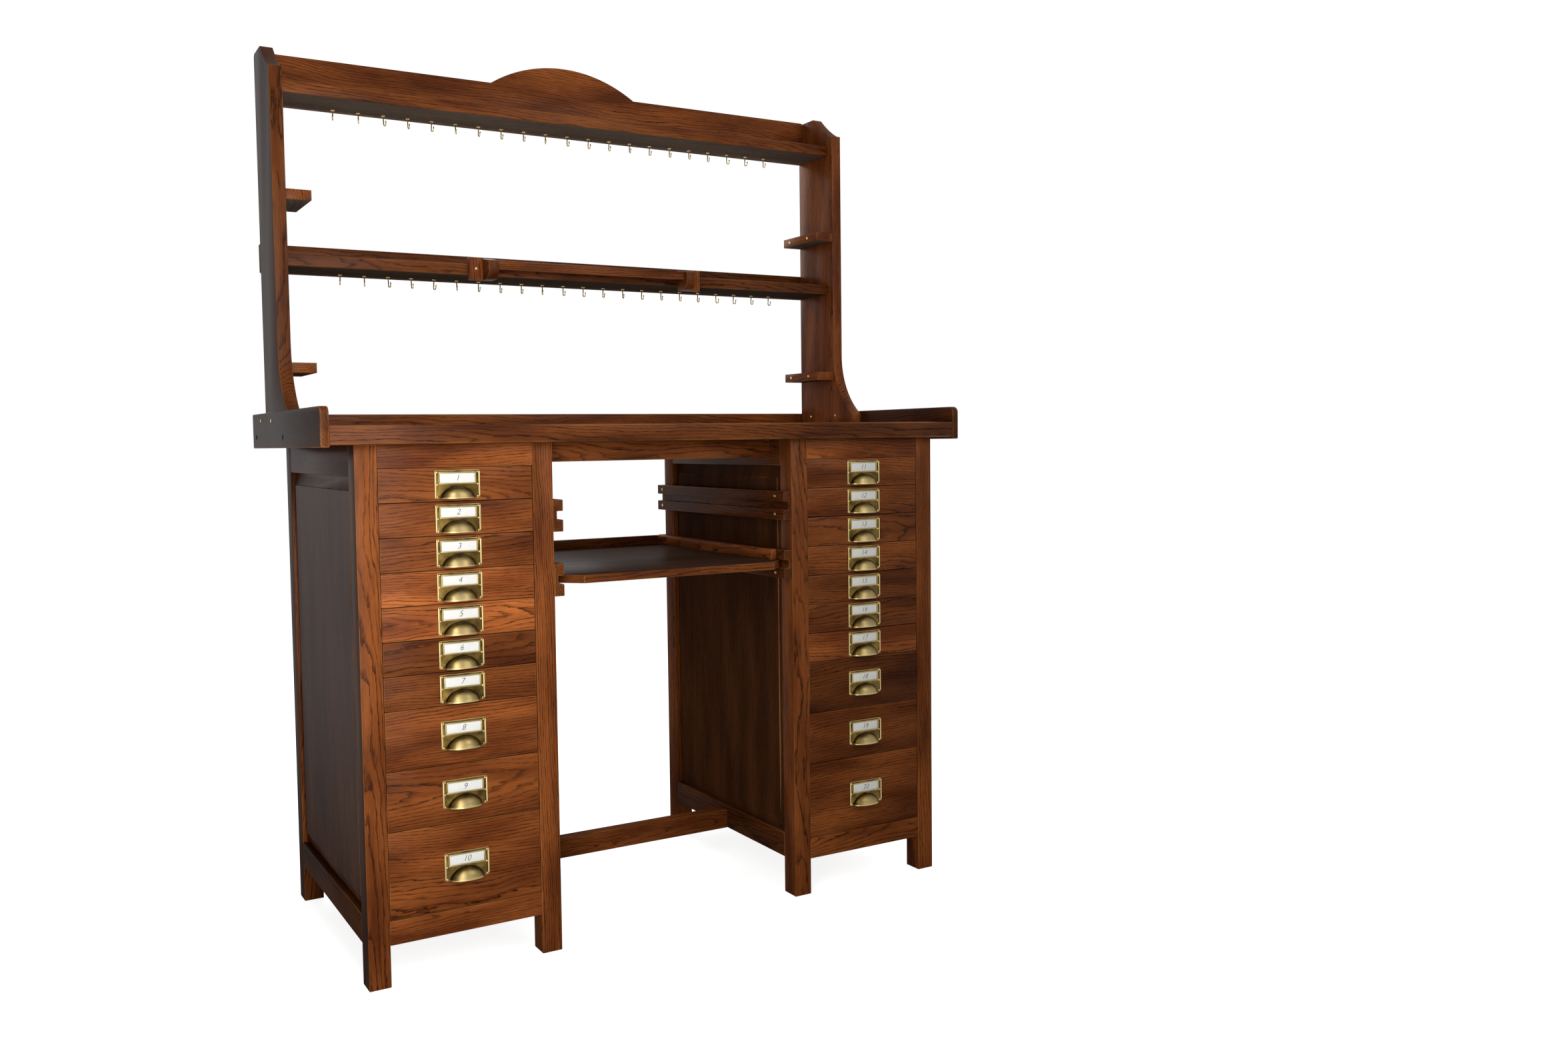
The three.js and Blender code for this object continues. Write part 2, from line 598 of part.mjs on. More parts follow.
// Crest: a board on edge behind the top shelf with a low arch in the middle
function crestBoard() {
  const low = TOP_SHELF_Z;
  const high = TOP_SHELF_Z + CREST_UP;
  const archR = (ARCH_HALF ** 2 + ARCH_RISE ** 2) / (2 * ARCH_RISE);
  const archAngle = Math.asin(ARCH_HALF / archR);
  const shape = outline([
    [-SHELF_X, high],
    [-SHELF_X, low],
    [SHELF_X, low],
    [SHELF_X, high],
    [ARCH_HALF, high],
  ]);
  const up = Math.PI / 2;
  shape.absarc(0, high + ARCH_RISE - archR, archR, up - archAngle, up + archAngle, false);
  return alongY(shape, [CREST_Y, UP_REAR_Y], 20);
}

// Back rail: a board across the rear of the uprights, level with the underside of the middle shelf
function backRail() {
  const y = [UP_REAR_Y + GLUE, UP_REAR_Y + GLUE + BACK_RAIL_T];
  return board([-TOP_X, TOP_X], y, [MID_SHELF_Z, MID_SHELF_Z + BACK_RAIL_H]);
}

// Arm of the plier rail: its upper edge falls to the front and its lower front corner is round
function plierArm(x, rear) {
  const low = MID_SHELF_Z - PLIER_DOWN;
  const high = MID_SHELF_Z + PLIER_UP;
  const nose = rear - PLIER_SLOT - PLIER_T - PLIER_NOSE;
  const shape = outline([[rear, low], [rear, high], [nose, high - PLIER_NOSE_DROP]]);
  shape.lineTo(nose, low + PLIER_NOSE_R);
  shape.absarc(nose + PLIER_NOSE_R, low + PLIER_NOSE_R, PLIER_NOSE_R, Math.PI, Math.PI * 1.5, false);
  return alongX(shape, x, 6);
}

// Plier rail: two arms on pads hold a strip off the shelf, so that pliers hang in the slot behind it
function plierRail() {
  const padX = PLIER_W / 2 - PLIER_PAD_W; // where an arm meets its pad
  const armX = padX - PLIER_ARM_W;
  const rear = SHELF_Y - GLUE;
  const padZ = [MID_SHELF_Z - PLIER_DOWN, MID_SHELF_Z + PLIER_UP];
  const railY = [rear - PLIER_SLOT - PLIER_T, rear - PLIER_SLOT];
  const railZ = [MID_SHELF_Z + PLIER_RAIL_RISE, MID_SHELF_Z + PLIER_RAIL_RISE + PLIER_RAIL_H];
  const pieces = [board([-armX - ROOT, armX + ROOT], railY, railZ)];
  for (const side of [-1, 1]) {
    pieces.push(plierArm(sided(side, armX, padX), rear));
    pieces.push(board(sided(side, padX - ROOT, PLIER_W / 2), [rear - PLIER_PAD_T, rear], padZ));
  }
  return join(pieces);
}

const bench = new THREE.Group();

function add(name, geometry, material, position) {
  const mesh = new THREE.Mesh(geometry, material);
  mesh.name = name;
  mesh.position.set(...position);
  bench.add(mesh);
}

function addBoard(name, body, material = OAK) {
  add(name, surface(body), material, [0, 0, 0]);
}

addBoard('worktop', worktop());
addBoard('back_board', backBoard());
addBoard('middle_shelf', middleShelf());
addBoard('top_shelf', topShelf());
addBoard('crest_board', crestBoard());
addBoard('middle_back_rail', backRail());
addBoard('plier_rail', plierRail());
addBoard('kneehole_apron', apron());
addBoard('stretcher', stretcher());
addBoard('catch_tray', catchTray(), DARK_OAK);

for (const [word, side] of [['left', -1], ['right', 1]]) {
  addBoard(`${word}_end_board`, endBoard(side));
  addBoard(`${word}_upright`, upright(side));
  addBoard(`${word}_pedestal_frame`, pedestalFrame(side));
  addBoard(`${word}_outer_panel`, sidePanel(side, true));
  addBoard(`${word}_inner_panel`, sidePanel(side, false), DARK_OAK);
}

// Drawers are numbered down the left pedestal and then down the right one
const pullGeometry = surface(pull());
[-1, 1].forEach((side, column) => {
  DRAWER_PITCHES.forEach((pitch, row) => {
    const number = String(column * DRAWER_PITCHES.length + row + 1).padStart(2, '0');
    const [low, high] = drawerSpace(row);
    const place = [side * (KNEE_X + PED_W / 2), FRONT_Y + FRONT_SINK - GLUE, (low + high) / 2];
    addBoard(`drawer_${number}`, drawer(side, row));
    add(`pull_${number}`, pullGeometry, BRASS, place);
  });
});

export default bench;
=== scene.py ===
import math
import random

import bmesh
import bpy
from mathutils import Matrix, Vector


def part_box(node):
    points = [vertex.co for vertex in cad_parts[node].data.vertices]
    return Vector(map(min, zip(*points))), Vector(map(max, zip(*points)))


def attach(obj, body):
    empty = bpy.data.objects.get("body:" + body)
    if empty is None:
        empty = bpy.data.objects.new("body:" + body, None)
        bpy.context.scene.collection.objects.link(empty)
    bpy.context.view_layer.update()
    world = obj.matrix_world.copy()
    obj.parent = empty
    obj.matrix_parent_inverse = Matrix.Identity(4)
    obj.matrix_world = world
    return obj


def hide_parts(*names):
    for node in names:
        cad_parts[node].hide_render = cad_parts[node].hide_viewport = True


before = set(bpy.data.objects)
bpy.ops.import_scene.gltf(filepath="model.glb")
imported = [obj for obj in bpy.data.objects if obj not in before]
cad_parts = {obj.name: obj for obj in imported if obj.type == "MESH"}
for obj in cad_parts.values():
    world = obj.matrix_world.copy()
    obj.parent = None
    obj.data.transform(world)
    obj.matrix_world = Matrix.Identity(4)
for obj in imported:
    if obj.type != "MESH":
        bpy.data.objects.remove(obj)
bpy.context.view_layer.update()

# Pedestal frames: square oak posts with mortised rails, stained dark and varnished, and painted darker on
# the sides as shade. A plain back closes each one, hardwood runners for the drawers lie between the posts,
# and grooved tray runners are screwed to the side that faces the kneehole.
MM = 0.001
X, Y, Z = 0, 1, 2
SIDES = (("left", -1), ("right", 1))
PEDESTAL_W = 360 * MM
POST_W = 39 * MM
POST_D = 42 * MM
LEG_H = 74 * MM
RAIL_T = 22 * MM
FRONT_LOW_RAIL_H = 43 * MM
FRONT_TOP_RAIL_H = 41 * MM
SIDE_LOW_RAIL_H = 51 * MM
SIDE_TOP_RAIL_H = 54 * MM
BACK_T = 8 * MM
BACK_INSET = 6 * MM
RUNNER_H = 9 * MM
RUNNER_REACH = 6.5 * MM
RUNNER_RISE = 26 * MM
FRONT_GAP = 1.2 * MM
TRAY_RUNNER_OUT = 19.4 * MM
TRAY_RUNNER_LOW_H = 22 * MM
TRAY_RUNNER_TOP_H = 21 * MM
TRAY_GROOVE_H = 16 * MM
TRAY_GROOVE_D = 12 * MM
TRAY_RUNNER_DROPS = (105.5 * MM, 225 * MM)
DRAWERS_A_SIDE = 10
POST_TONE = -0.7
TRAY_RUNNER_TONE = -2.2
WORN_EDGE = 1.4 * MM
NOSE_STEP = 2 * MM
NOSE_WEAR = 0.8
SHARP_EDGE = math.radians(35)
SMOOTH_EDGE = math.radians(40)
LEVEL_PLAY = 0.001 * MM
TRUNK_L = 4
HEART_ASIDE = 1.1
HEART_NEAR = 14 * MM
HEART_FAR = 60 * MM
NARROW_BOARD = 60 * MM

chance = random.Random(21)


def linear(hex_colour):
    """An sRGB hex colour as linear red, green, blue and alpha."""
    parts = [int(hex_colour[i:i + 2], 16) / 255 for i in (1, 3, 5)]
    return [c / 12.92 if c <= 0.04045 else ((c + 0.055) / 1.055) ** 2.4 for c in parts] + [1.0]


def feed(tree, made, inputs):
    """Gives a node's inputs a value, an output, or the first output in use of another node."""
    for key, value in inputs.items():
        if isinstance(value, bpy.types.Node):
            value = next(output for output in value.outputs if output.enabled)
        if isinstance(value, bpy.types.NodeSocket):
            tree.links.new(value, made.inputs[key])
        else:
            made.inputs[key].default_value = value


def node(tree, kind, inputs=None, **settings):
    """Adds a node with its settings and links."""
    made = tree.nodes.new(kind)
    for name, value in settings.items():
        setattr(made, name, value)
    feed(tree, made, inputs or {})
    return made


def bare_finish(name):
    """A new material with its tree and its shader."""
    material = bpy.data.materials.new(name)
    material.use_nodes = True
    return material, material.node_tree, material.node_tree.nodes["Principled BSDF"]


def stained_oak(name, pale, body, line, coat):
    """Oak, stained and varnished: the stain gathers in the open pores that begin each year's ring, which
    draws thin dark broken lines and arches on a red-brown ground. Hands rub the edges paler, and the same
    paler mix paints a highlight where a part asks for more of it, as along the field of a panel. Mops and
    feet take the varnish off near the floor. A ring is 3 to 8 mm wide; the pores, under 0.3 mm in oak, are
    drawn wider so that they show."""
    ring_w = 4.8 * MM
    ring_waver = 1.3
    axis_sway = (0, 50 * MM, 45 * MM)
    trunk_taper = 0.03
    bends = 454.5 * MM, 142.9 * MM
    ripples = 55.56 * MM, 9.09 * MM
    streaks = 15 * MM, 0.9 * MM
    fibres = 70 * MM, 1.3 * MM
    patches = 250 * MM, 50 * MM
    first_wood = {2: 0.4, 3: 1.0, 4: 0.0}
    year_depth = {3: 0.35}
    pore_edge = {1: 0.42, 2: 0.6}
    pore_crowd = {2: 0.8, 3: 0.16}
    fibre_shade = {1: 0.3, 2: 0.7, 3: 0.82, 4: 1.16}
    patch_edge = {1: 0.34, 2: 0.66}
    line_stain = 0.7
    pore_stain = 0.95
    tone_step = 0.22
    rub_and_highlight_share = 0.38
    rub_and_highlight_wood = linear("#b07642")
    ring_depth = 0.35
    satin = {3: 0.4, 4: 0.56}
    varnish_fade = {1: 100 * MM, 2: 900 * MM, 3: 0.15 * coat, 4: coat}
    soft = {"interpolation_type": "SMOOTHSTEP"}
    material, tree, shader = bare_finish(name)
    grain = node(tree, "ShaderNodeAttribute", attribute_name="grain").outputs["Vector"]
    tone = node(tree, "ShaderNodeAttribute", attribute_name="tone").outputs["Fac"]
    worn = node(tree, "ShaderNodeAttribute", attribute_name="worn").outputs["Fac"]

    def marks(length, width, detail):
        """Uneven marks of a length along the grain and a width across it."""
        scale = (1 / length, 1 / width, 1 / width)
        place = node(tree, "ShaderNodeVectorMath", {0: grain, 1: scale}, operation="MULTIPLY")
        return node(tree, "ShaderNodeTexNoise", {"Vector": place, "Scale": 1.0, "Detail": detail})

    # The trunk's axis wanders, so rings swell and close along a board
    wander = marks(*bends, 2.0).outputs["Color"]
    wander = node(tree, "ShaderNodeVectorMath", {0: wander, 1: (0.5, 0.5, 0.5)}, operation="SUBTRACT")
    wander = node(tree, "ShaderNodeVectorMath", {0: wander, 1: axis_sway, 2: grain}, operation="MULTIPLY_ADD")
    section = node(tree, "ShaderNodeVectorMath", {0: wander, 1: (0, 1, 1)}, operation="MULTIPLY")
    radius = node(tree, "ShaderNodeVectorMath", {0: section}, operation="LENGTH")
    along = node(tree, "ShaderNodeSeparateXYZ", {0: grain}).outputs["X"]
    radius = node(tree, "ShaderNodeMath", {0: along, 1: trunk_taper, 2: radius}, operation="MULTIPLY_ADD")
    fine = marks(*ripples, 3.0)
    years = node(tree, "ShaderNodeMath", {0: radius, 1: 1 / ring_w}, operation="MULTIPLY")
    years = node(tree, "ShaderNodeMath", {0: fine, 1: ring_waver, 2: years}, operation="MULTIPLY_ADD")
    season = node(tree, "ShaderNodeMath", {0: years}, operation="FRACT")
    year = node(tree, "ShaderNodeMath", {0: years}, operation="FLOOR")
    depth = node(tree, "ShaderNodeTexWhiteNoise", {"W": year}, noise_dimensions="1D")
    depth = node(tree, "ShaderNodeMapRange", {0: depth, **year_depth})
    early = node(tree, "ShaderNodeMapRange", {0: season, **first_wood}, **soft)
    early = node(tree, "ShaderNodeMath", {0: early, 1: depth}, operation="MULTIPLY")

    # Pores are short streaks along the grain, close together in the first wood of a year
    pores = marks(*streaks, 1.0)
    pores = node(tree, "ShaderNodeMapRange", {0: pores, **pore_edge}, **soft)
    crowd = node(tree, "ShaderNodeMapRange", {0: early, **pore_crowd})
    pores = node(tree, "ShaderNodeMath", {0: pores, 1: crowd}, operation="MULTIPLY")
    fibre = marks(*fibres, 2.0)
    fibre = node(tree, "ShaderNodeMapRange", {0: fibre, **fibre_shade})

    # The stain takes unevenly over a board and from board to board
    patch = marks(*patches, 4.0)
    patch = node(tree, "ShaderNodeMapRange", {0: patch, **patch_edge})
    colour = node(tree, "ShaderNodeMix", {0: patch, 6: linear(body), 7: linear(pale)}, data_type="RGBA")
    lines = node(tree, "ShaderNodeMath", {0: early, 1: line_stain}, operation="MULTIPLY")
    colour = node(tree, "ShaderNodeMix", {0: lines, 6: colour, 7: linear(line)}, data_type="RGBA")
    dark = node(tree, "ShaderNodeMath", {0: pores, 1: pore_stain}, operation="MULTIPLY")
    colour = node(tree, "ShaderNodeMix", {0: dark, 6: colour, 7: linear(line)}, data_type="RGBA")
    # A board's tone is its own paler or darker stain; on the right drawer fronts and the end boards it also
    # holds a painted shade
    bright = node(tree, "ShaderNodeMath", {0: tone, 1: tone_step, 2: 1.0}, operation="MULTIPLY_ADD")
    bright = node(tree, "ShaderNodeMath", {0: bright, 1: fibre}, operation="MULTIPLY")
    colour = node(tree, "ShaderNodeVectorMath", {0: colour, 3: bright}, operation="SCALE")
    # The paler mix is where hands rub the edges; along the field of a panel it is also a painted highlight
    rubbed = node(tree, "ShaderNodeMath", {0: worn, 1: patch}, operation="MULTIPLY")
    rubbed = node(tree, "ShaderNodeMath", {0: rubbed, 1: rub_and_highlight_share}, operation="MULTIPLY")
    colour = node(tree, "ShaderNodeMix", {0: rubbed, 6: colour, 7: rub_and_highlight_wood}, data_type="RGBA")

    # Open wood lies lower and duller, and most of the varnish near the floor is gone
    gloss = node(tree, "ShaderNodeMapRange", {0: early, **satin})
    height = node(tree, "ShaderNodeMath", {0: early, 1: ring_depth, 2: pores}, operation="MULTIPLY_ADD")
    height = node(tree, "ShaderNodeMath", {0: 1.0, 1: height}, operation="SUBTRACT")
    bump = node(tree, "ShaderNodeBump", {"Height": height, "Strength": 0.4, "Distance": 0.3 * MM})
    place = node(tree, "ShaderNodeTexCoord").outputs["Object"]
    rise = node(tree, "ShaderNodeSeparateXYZ", {0: place}).outputs["Z"]
    varnish = node(tree, "ShaderNodeMapRange", {0: rise, **varnish_fade})
    feed(tree, shader, {"Base Color": colour, "Roughness": gloss, "Normal": bump, "Coat Weight": varnish})
    feed(tree, shader, {"Specular IOR Level": 0.0, "Coat Roughness": 0.3, "Coat IOR": 1.4})
    return material


def plank(outline, along, span, grain, ease=WORN_EDGE, tone=None, log=None):
    """A board: an outline on two axes, run along the third, with eased edges. Each one is cut from its own
    place in a log, drawn by chance unless it is given as a distance along the trunk and one across the board
    in widths: the grain attribute holds distances along the trunk and from its middle."""
    u, v = [axis for axis in (X, Y, Z) if axis != along]
    work = bmesh.new()
    ends = []
    for level in span:
        ring = []
        for a, b in outline:
            corner = Vector((0, 0, 0))
            corner[u] = a
            corner[v] = b
            corner[along] = level
            ring.append(work.verts.new(corner))
        ends.append(ring)
    low, high = ends
    wear = work.faces.layers.float.new("worn")
    work.faces.new(low)
    work.faces.new(high)
    for i in range(len(low)):
        j = (i + 1) % len(low)
        side = work.faces.new((low[i], low[j], high[j], high[i]))
        side[wear] = NOSE_WEAR if (low[i].co - low[j].co).length < NOSE_STEP else 0.0
    bmesh.ops.recalc_face_normals(work, faces=work.faces[:])
    sharp = [edge for edge in work.edges if edge.calc_face_angle(0) > SHARP_EDGE]
    eased = bmesh.ops.bevel(
        work, geom=sharp, offset=ease, segments=2, profile=0.5, affect="EDGES", clamp_overlap=True
    )
    for face in eased["faces"]:
        face[wear] = 1.0
    work.verts.index_update()
    places = [vert.co.copy() for vert in work.verts]
    faces = [[vert.index for vert in face.verts] for face in work.faces]
    worn = [face[wear] for face in work.faces]
    work.free()

    lowest = [min(place[axis] for place in places) for axis in (X, Y, Z)]
    highest = [max(place[axis] for place in places) for axis in (X, Y, Z)]
    size = [b - a for a, b in zip(lowest, highest)]
    wide, thin = sorted([axis for axis in (X, Y, Z) if axis != grain], key=lambda axis: -size[axis])
    drawn_log = chance.uniform(0, TRUNK_L), chance.uniform(-HEART_ASIDE, HEART_ASIDE)
    trunk, across = log or drawn_log
    off_wide = across * max(size[wide], NARROW_BOARD)
    off_thin = chance.choice((-1, 1)) * chance.uniform(HEART_NEAR, HEART_FAR)
    drawn_tone = chance.uniform(-1, 1)
    tone = drawn_tone if tone is None else tone
    middle = [(a + b) / 2 for a, b in zip(lowest, highest)]
    cut = [
        (
            place[grain] - middle[grain] + trunk,
            place[wide] - middle[wide] + off_wide,
            place[thin] - middle[thin] + off_thin,
        )
        for place in places
    ]
    return {"places": places, "faces": faces, "grain": cut, "tone": [tone] * len(places), "worn": worn}


def slab(x, y, z, grain, ease=WORN_EDGE, tone=None):
    """A squared board between its limits on the three axes."""
    limits = x, y, z
    thin = min((X, Y, Z), key=lambda axis: limits[axis][1] - limits[axis][0])
    u, v = [limits[axis] for axis in (X, Y, Z) if axis != thin]
    outline = [(u[0], v[0]), (u[1], v[0]), (u[1], v[1]), (u[0], v[1])]
    return plank(outline, thin, limits[thin], grain, ease, tone)


def placed(name, data):
    """A new object in the scene."""
    made = bpy.data.objects.new(name, data)
    bpy.context.scene.collection.objects.link(made)
    return made


def assembled(name, parts, *materials):
    """One object from several parts, with their grain, tone, and wear and painted highlight kept as
    attributes.
    A part may name the finish of each face, as a place in the list of materials, and may be round, which
    shades it smooth."""
    places, faces, grain, tone, worn, finish, smooth = [], [], [], [], [], [], []
    for part in parts:
        start = len(places)
        count = len(part["faces"])
        places += part["places"]
        faces += [[start + i for i in face] for face in part["faces"]]
        grain += part["grain"]
        tone += part["tone"]
        worn += part["worn"]
        finish += part.get("finish", [0] * count)
        smooth += [part.get("round", False)] * count
    mesh = bpy.data.meshes.new(name)
    mesh.from_pydata([tuple(place) for place in places], [], faces)
    cuts = [value for cut in grain for value in cut]
    mesh.attributes.new("grain", "FLOAT_VECTOR", "POINT").data.foreach_set("vector", cuts)
    mesh.attributes.new("tone", "FLOAT", "POINT").data.foreach_set("value", tone)
    mesh.attributes.new("worn", "FLOAT", "FACE").data.foreach_set("value", worn)
    for material in materials:
        mesh.materials.append(material)
    mesh.polygons.foreach_set("material_index", finish)
    mesh.polygons.foreach_set("use_smooth", smooth)
    mesh.set_sharp_from_angle(angle=SMOOTH_EDGE)
    return placed(name, mesh)


def refinished(part, finish=1):
    """Gives a whole part another finish than the first."""
    part["finish"] = [finish] * len(part["faces"])
    return part


def faced(part, axis, level, finish=1):
    """Gives the flat face of a part at one level another finish than the rest."""
    places = part["places"]
    flat = [all(abs(places[i][axis] - level) < LEVEL_PLAY for i in face) for face in part["faces"]]
    part["finish"] = [finish if is_flat else 0 for is_flat in flat]
    return part


def sided(side, near, far):
    """Two distances from the middle plane as limits on the left (-1) or the right (1)."""
    return (near, far) if side > 0 else (-far, -near)


# Fronts are red-brown; the sides have more varnish and are painted darker, a painted shade; the kneehole is
# dark and dry
oak = stained_oak("stained_oak", "#9e582a", "#633116", "#261107", 0.2)
side_oak = stained_oak("side_oak", "#5f3315", "#3c1b0b", "#190b05", 0.3)
dark_oak = stained_oak("kneehole_oak", "#58331c", "#402413", "#1c0e08", 0.03)

low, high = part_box("right_pedestal_frame")
outer_face = high[X]
front_face = low[Y]
rear_face = high[Y]
pedestal_top = high[Z]
worktop_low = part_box("worktop")[0][Z]
knee_face = outer_face - PEDESTAL_W
bay_low = LEG_H + FRONT_LOW_RAIL_H
bay_high = pedestal_top - FRONT_TOP_RAIL_H
back_y = rear_face - BACK_INSET - BACK_T, rear_face - BACK_INSET
posts_x = (knee_face, knee_face + POST_W), (outer_face - POST_W, outer_face)
posts_y = (front_face, front_face + POST_D), (rear_face - POST_D, rear_face)
end_rails_y = (front_face, front_face + RAIL_T), (rear_face - RAIL_T, rear_face)
side_rails_x = (knee_face, knee_face + RAIL_T), (outer_face - RAIL_T, outer_face)
side_rails_z = (LEG_H, LEG_H + SIDE_LOW_RAIL_H), (pedestal_top - SIDE_TOP_RAIL_H, pedestal_top)
between_y = front_face + POST_D, rear_face - POST_D

for word, side in SIDES:
    between_x = sided(side, knee_face + POST_W, outer_face - POST_W)
    parts = []
    # Posts take the darker side finish on the outer face, and the side rails take it all over, a painted
    # shade
    for post in posts_x:
        for y in posts_y:
            post_oak = slab(sided(side, *post), y, (0, pedestal_top), Z, tone=POST_TONE)
            parts.append(faced(post_oak, X, side * outer_face))
    for y in end_rails_y:
        parts.append(slab(between_x, y, (LEG_H, bay_low), X))
        parts.append(slab(between_x, y, (bay_high, pedestal_top), X))
    for rail in side_rails_x:
        for z in side_rails_z:
            parts.append(refinished(slab(sided(side, *rail), between_y, z, Y)))
    parts.append(slab(between_x, back_y, (bay_low, bay_high), Z))
    for row in range(DRAWERS_A_SIDE):
        number = row + 1 + (DRAWERS_A_SIDE if side > 0 else 0)
        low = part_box(f"drawer_{number:02d}")[0][Z] - FRONT_GAP / 2 + RUNNER_RISE
        for face in (knee_face + POST_W, outer_face - POST_W):
            x = sided(side, face - RUNNER_REACH, face + RUNNER_REACH)
            parts.append(slab(x, between_y, (low, low + RUNNER_H), Y))
    for drop in TRAY_RUNNER_DROPS:
        top = worktop_low - drop
        groove_top = top - TRAY_RUNNER_TOP_H
        groove_low = groove_top - TRAY_GROOVE_H
        low = groove_low - TRAY_RUNNER_LOW_H
        lip = side * (knee_face - TRAY_RUNNER_OUT)
        groove = side * (knee_face - TRAY_RUNNER_OUT + TRAY_GROOVE_D)
        foot = side * knee_face
        section = [
            (foot, low), (lip, low), (lip, groove_low), (groove, groove_low),
            (groove, groove_top), (lip, groove_top), (lip, top), (foot, top),
        ]
        parts.append(plank(section, Y, (front_face, rear_face), Y, tone=TRAY_RUNNER_TONE))
    pedestal = assembled(f"{word}_pedestal_oak", parts, oak, side_oak)
    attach(pedestal, "bench")
    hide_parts(f"{word}_pedestal_frame")

# Side panels: raised and fielded oak boards, one in each side of a pedestal, paler along the edge of the
# field, where hands rub it and a highlight is painted as well. The outer panels are painted darker, a
# painted shade. Their bevelled edges float in grooves of the frame, with the grain upright.
PANEL_T = 14 * MM
PANEL_TONGUE_T = 6 * MM
PANEL_LAP = 7.7 * MM
PANEL_BEVEL_ENDS = 25 * MM
PANEL_BEVEL_SIDES = 19 * MM
PANEL_EASE = 0.3 * MM
FIELD_STEP = 1 * MM
FIELD_RISE = 1.5 * MM
FIELD_RUB_AND_HIGHLIGHT = 2.5


def skinned(rings):
    """Faces over rings of the same number of places, with a flat face at both ends."""
    sides = len(rings[0])
    faces = []
    for j in range(len(rings) - 1):
        for i in range(sides):
            k = (i + 1) % sides
            faces.append([j * sides + i, j * sides + k, (j + 1) * sides + k, (j + 1) * sides + i])
    faces.append([i for i in range(sides)][::-1])
    faces.append([(len(rings) - 1) * sides + i for i in range(sides)])
    return faces


def raised_panel(low, high, outward):
    """A panel between two corners: flat back, tongue all round, and bevels up to a field that faces
    outward."""
    flat = slab(*zip(low, high), Z, ease=PANEL_EASE, tone=0)
    back = low[X] if outward > 0 else high[X]
    bevel_y = PANEL_LAP + PANEL_BEVEL_SIDES
    bevel_z = PANEL_LAP + PANEL_BEVEL_ENDS
    steps = (
        (0, 0, 0),
        (0, 0, PANEL_TONGUE_T),
        (PANEL_LAP, PANEL_LAP, PANEL_TONGUE_T),
        (bevel_y, bevel_z, PANEL_T - FIELD_RISE),
        (bevel_y + FIELD_STEP, bevel_z + FIELD_STEP, PANEL_T),
    )
    rings = []
    for inset_y, inset_z, thick in steps:
        x = back + outward * thick
        y = low[Y] + inset_y, high[Y] - inset_y
        z = low[Z] + inset_z, high[Z] - inset_z
        corners = (y[0], z[0]), (y[1], z[0]), (y[1], z[1]), (y[0], z[1])
        rings.append([Vector((x, *corner)) for corner in corners])
    places = [place for ring in rings for place in ring]
    faces = skinned(rings)
    if outward < 0:
        faces = [face[::-1] for face in faces]
    # The faces at the edge of the field are made strongly paler: hands rub them, and it is a painted
    # highlight as well
    edge_end = len(corners) * (len(rings) - 1)
    edge = range(edge_end - len(corners), edge_end)
    first = flat["places"][0]
    shift = Vector(flat["grain"][0]) - Vector((first.z, first.y, first.x))
    return {
        "places": places,
        "faces": faces,
        "grain": [(place.z + shift.x, place.y + shift.y, place.x + shift.z) for place in places],
        "tone": [flat["tone"][0]] * len(places),
        "worn": [FIELD_RUB_AND_HIGHLIGHT if i in edge else 0.0 for i in range(len(faces))],
    }


for word, side in SIDES:
    # The outer panels take the darker side finish, a painted shade
    panels = (("outer", side_oak, "oak", side), ("inner", dark_oak, "dark_oak", -side))
    for place, material, slot, outward in panels:
        node_name = f"{word}_{place}_panel"
        panel = assembled(f"{node_name}_oak", [raised_panel(*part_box(node_name), outward)], material)
        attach(panel, "bench")
        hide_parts(node_name)

# Kneehole rails: a shallow apron under the worktop and a stretcher near the floor, plain oak boards on edge
# that are tenoned between the two pedestals.
KNEE_RAILS = (("kneehole_apron", 0.2), ("stretcher", -0.6))

for name, tone in KNEE_RAILS:
    rail = assembled(f"{name}_oak", [slab(*zip(*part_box(name)), X, tone=tone)], oak)
    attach(rail, "bench")
    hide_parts(name)

# Drawers: a stained oak front on an open box of bare oak, the fronts paler or darker as their boards took
# the stain, and those of the right pedestal painted darker, a painted shade. The box sides are grooved and
# slide on the runners of the pedestal.
FRONT_T = 18 * MM
SIDE_T = 14 * MM
REAR_T = 12 * MM
BOTTOM_T = 6 * MM
BOX_LIFT = 4 * MM
BOX_DROP = 6 * MM
BOX_EASE = 0.8 * MM
BOTTOM_EASE = 0.5 * MM
GROOVE_D = 5.9 * MM
RUN = 0.4 * MM
DRAWERS = [f"drawer_{number:02d}" for number in range(1, 2 * DRAWERS_A_SIDE + 1)]
PALE_FRONTS = ("drawer_04", "drawer_05", "drawer_17")
DARK_FRONTS = ("drawer_06", "drawer_07", "drawer_18")
FRONT_TONES = {**dict.fromkeys(PALE_FRONTS, 2.4), **dict.fromkeys(DARK_FRONTS, -1.4)}
RIGHT_SHADE_TONE = -1.3

# The boxes were never stained, so only dust darkens their pores
bare_oak = stained_oak("bare_oak", "#a87c4e", "#94693f", "#5f3d20", 0.0)

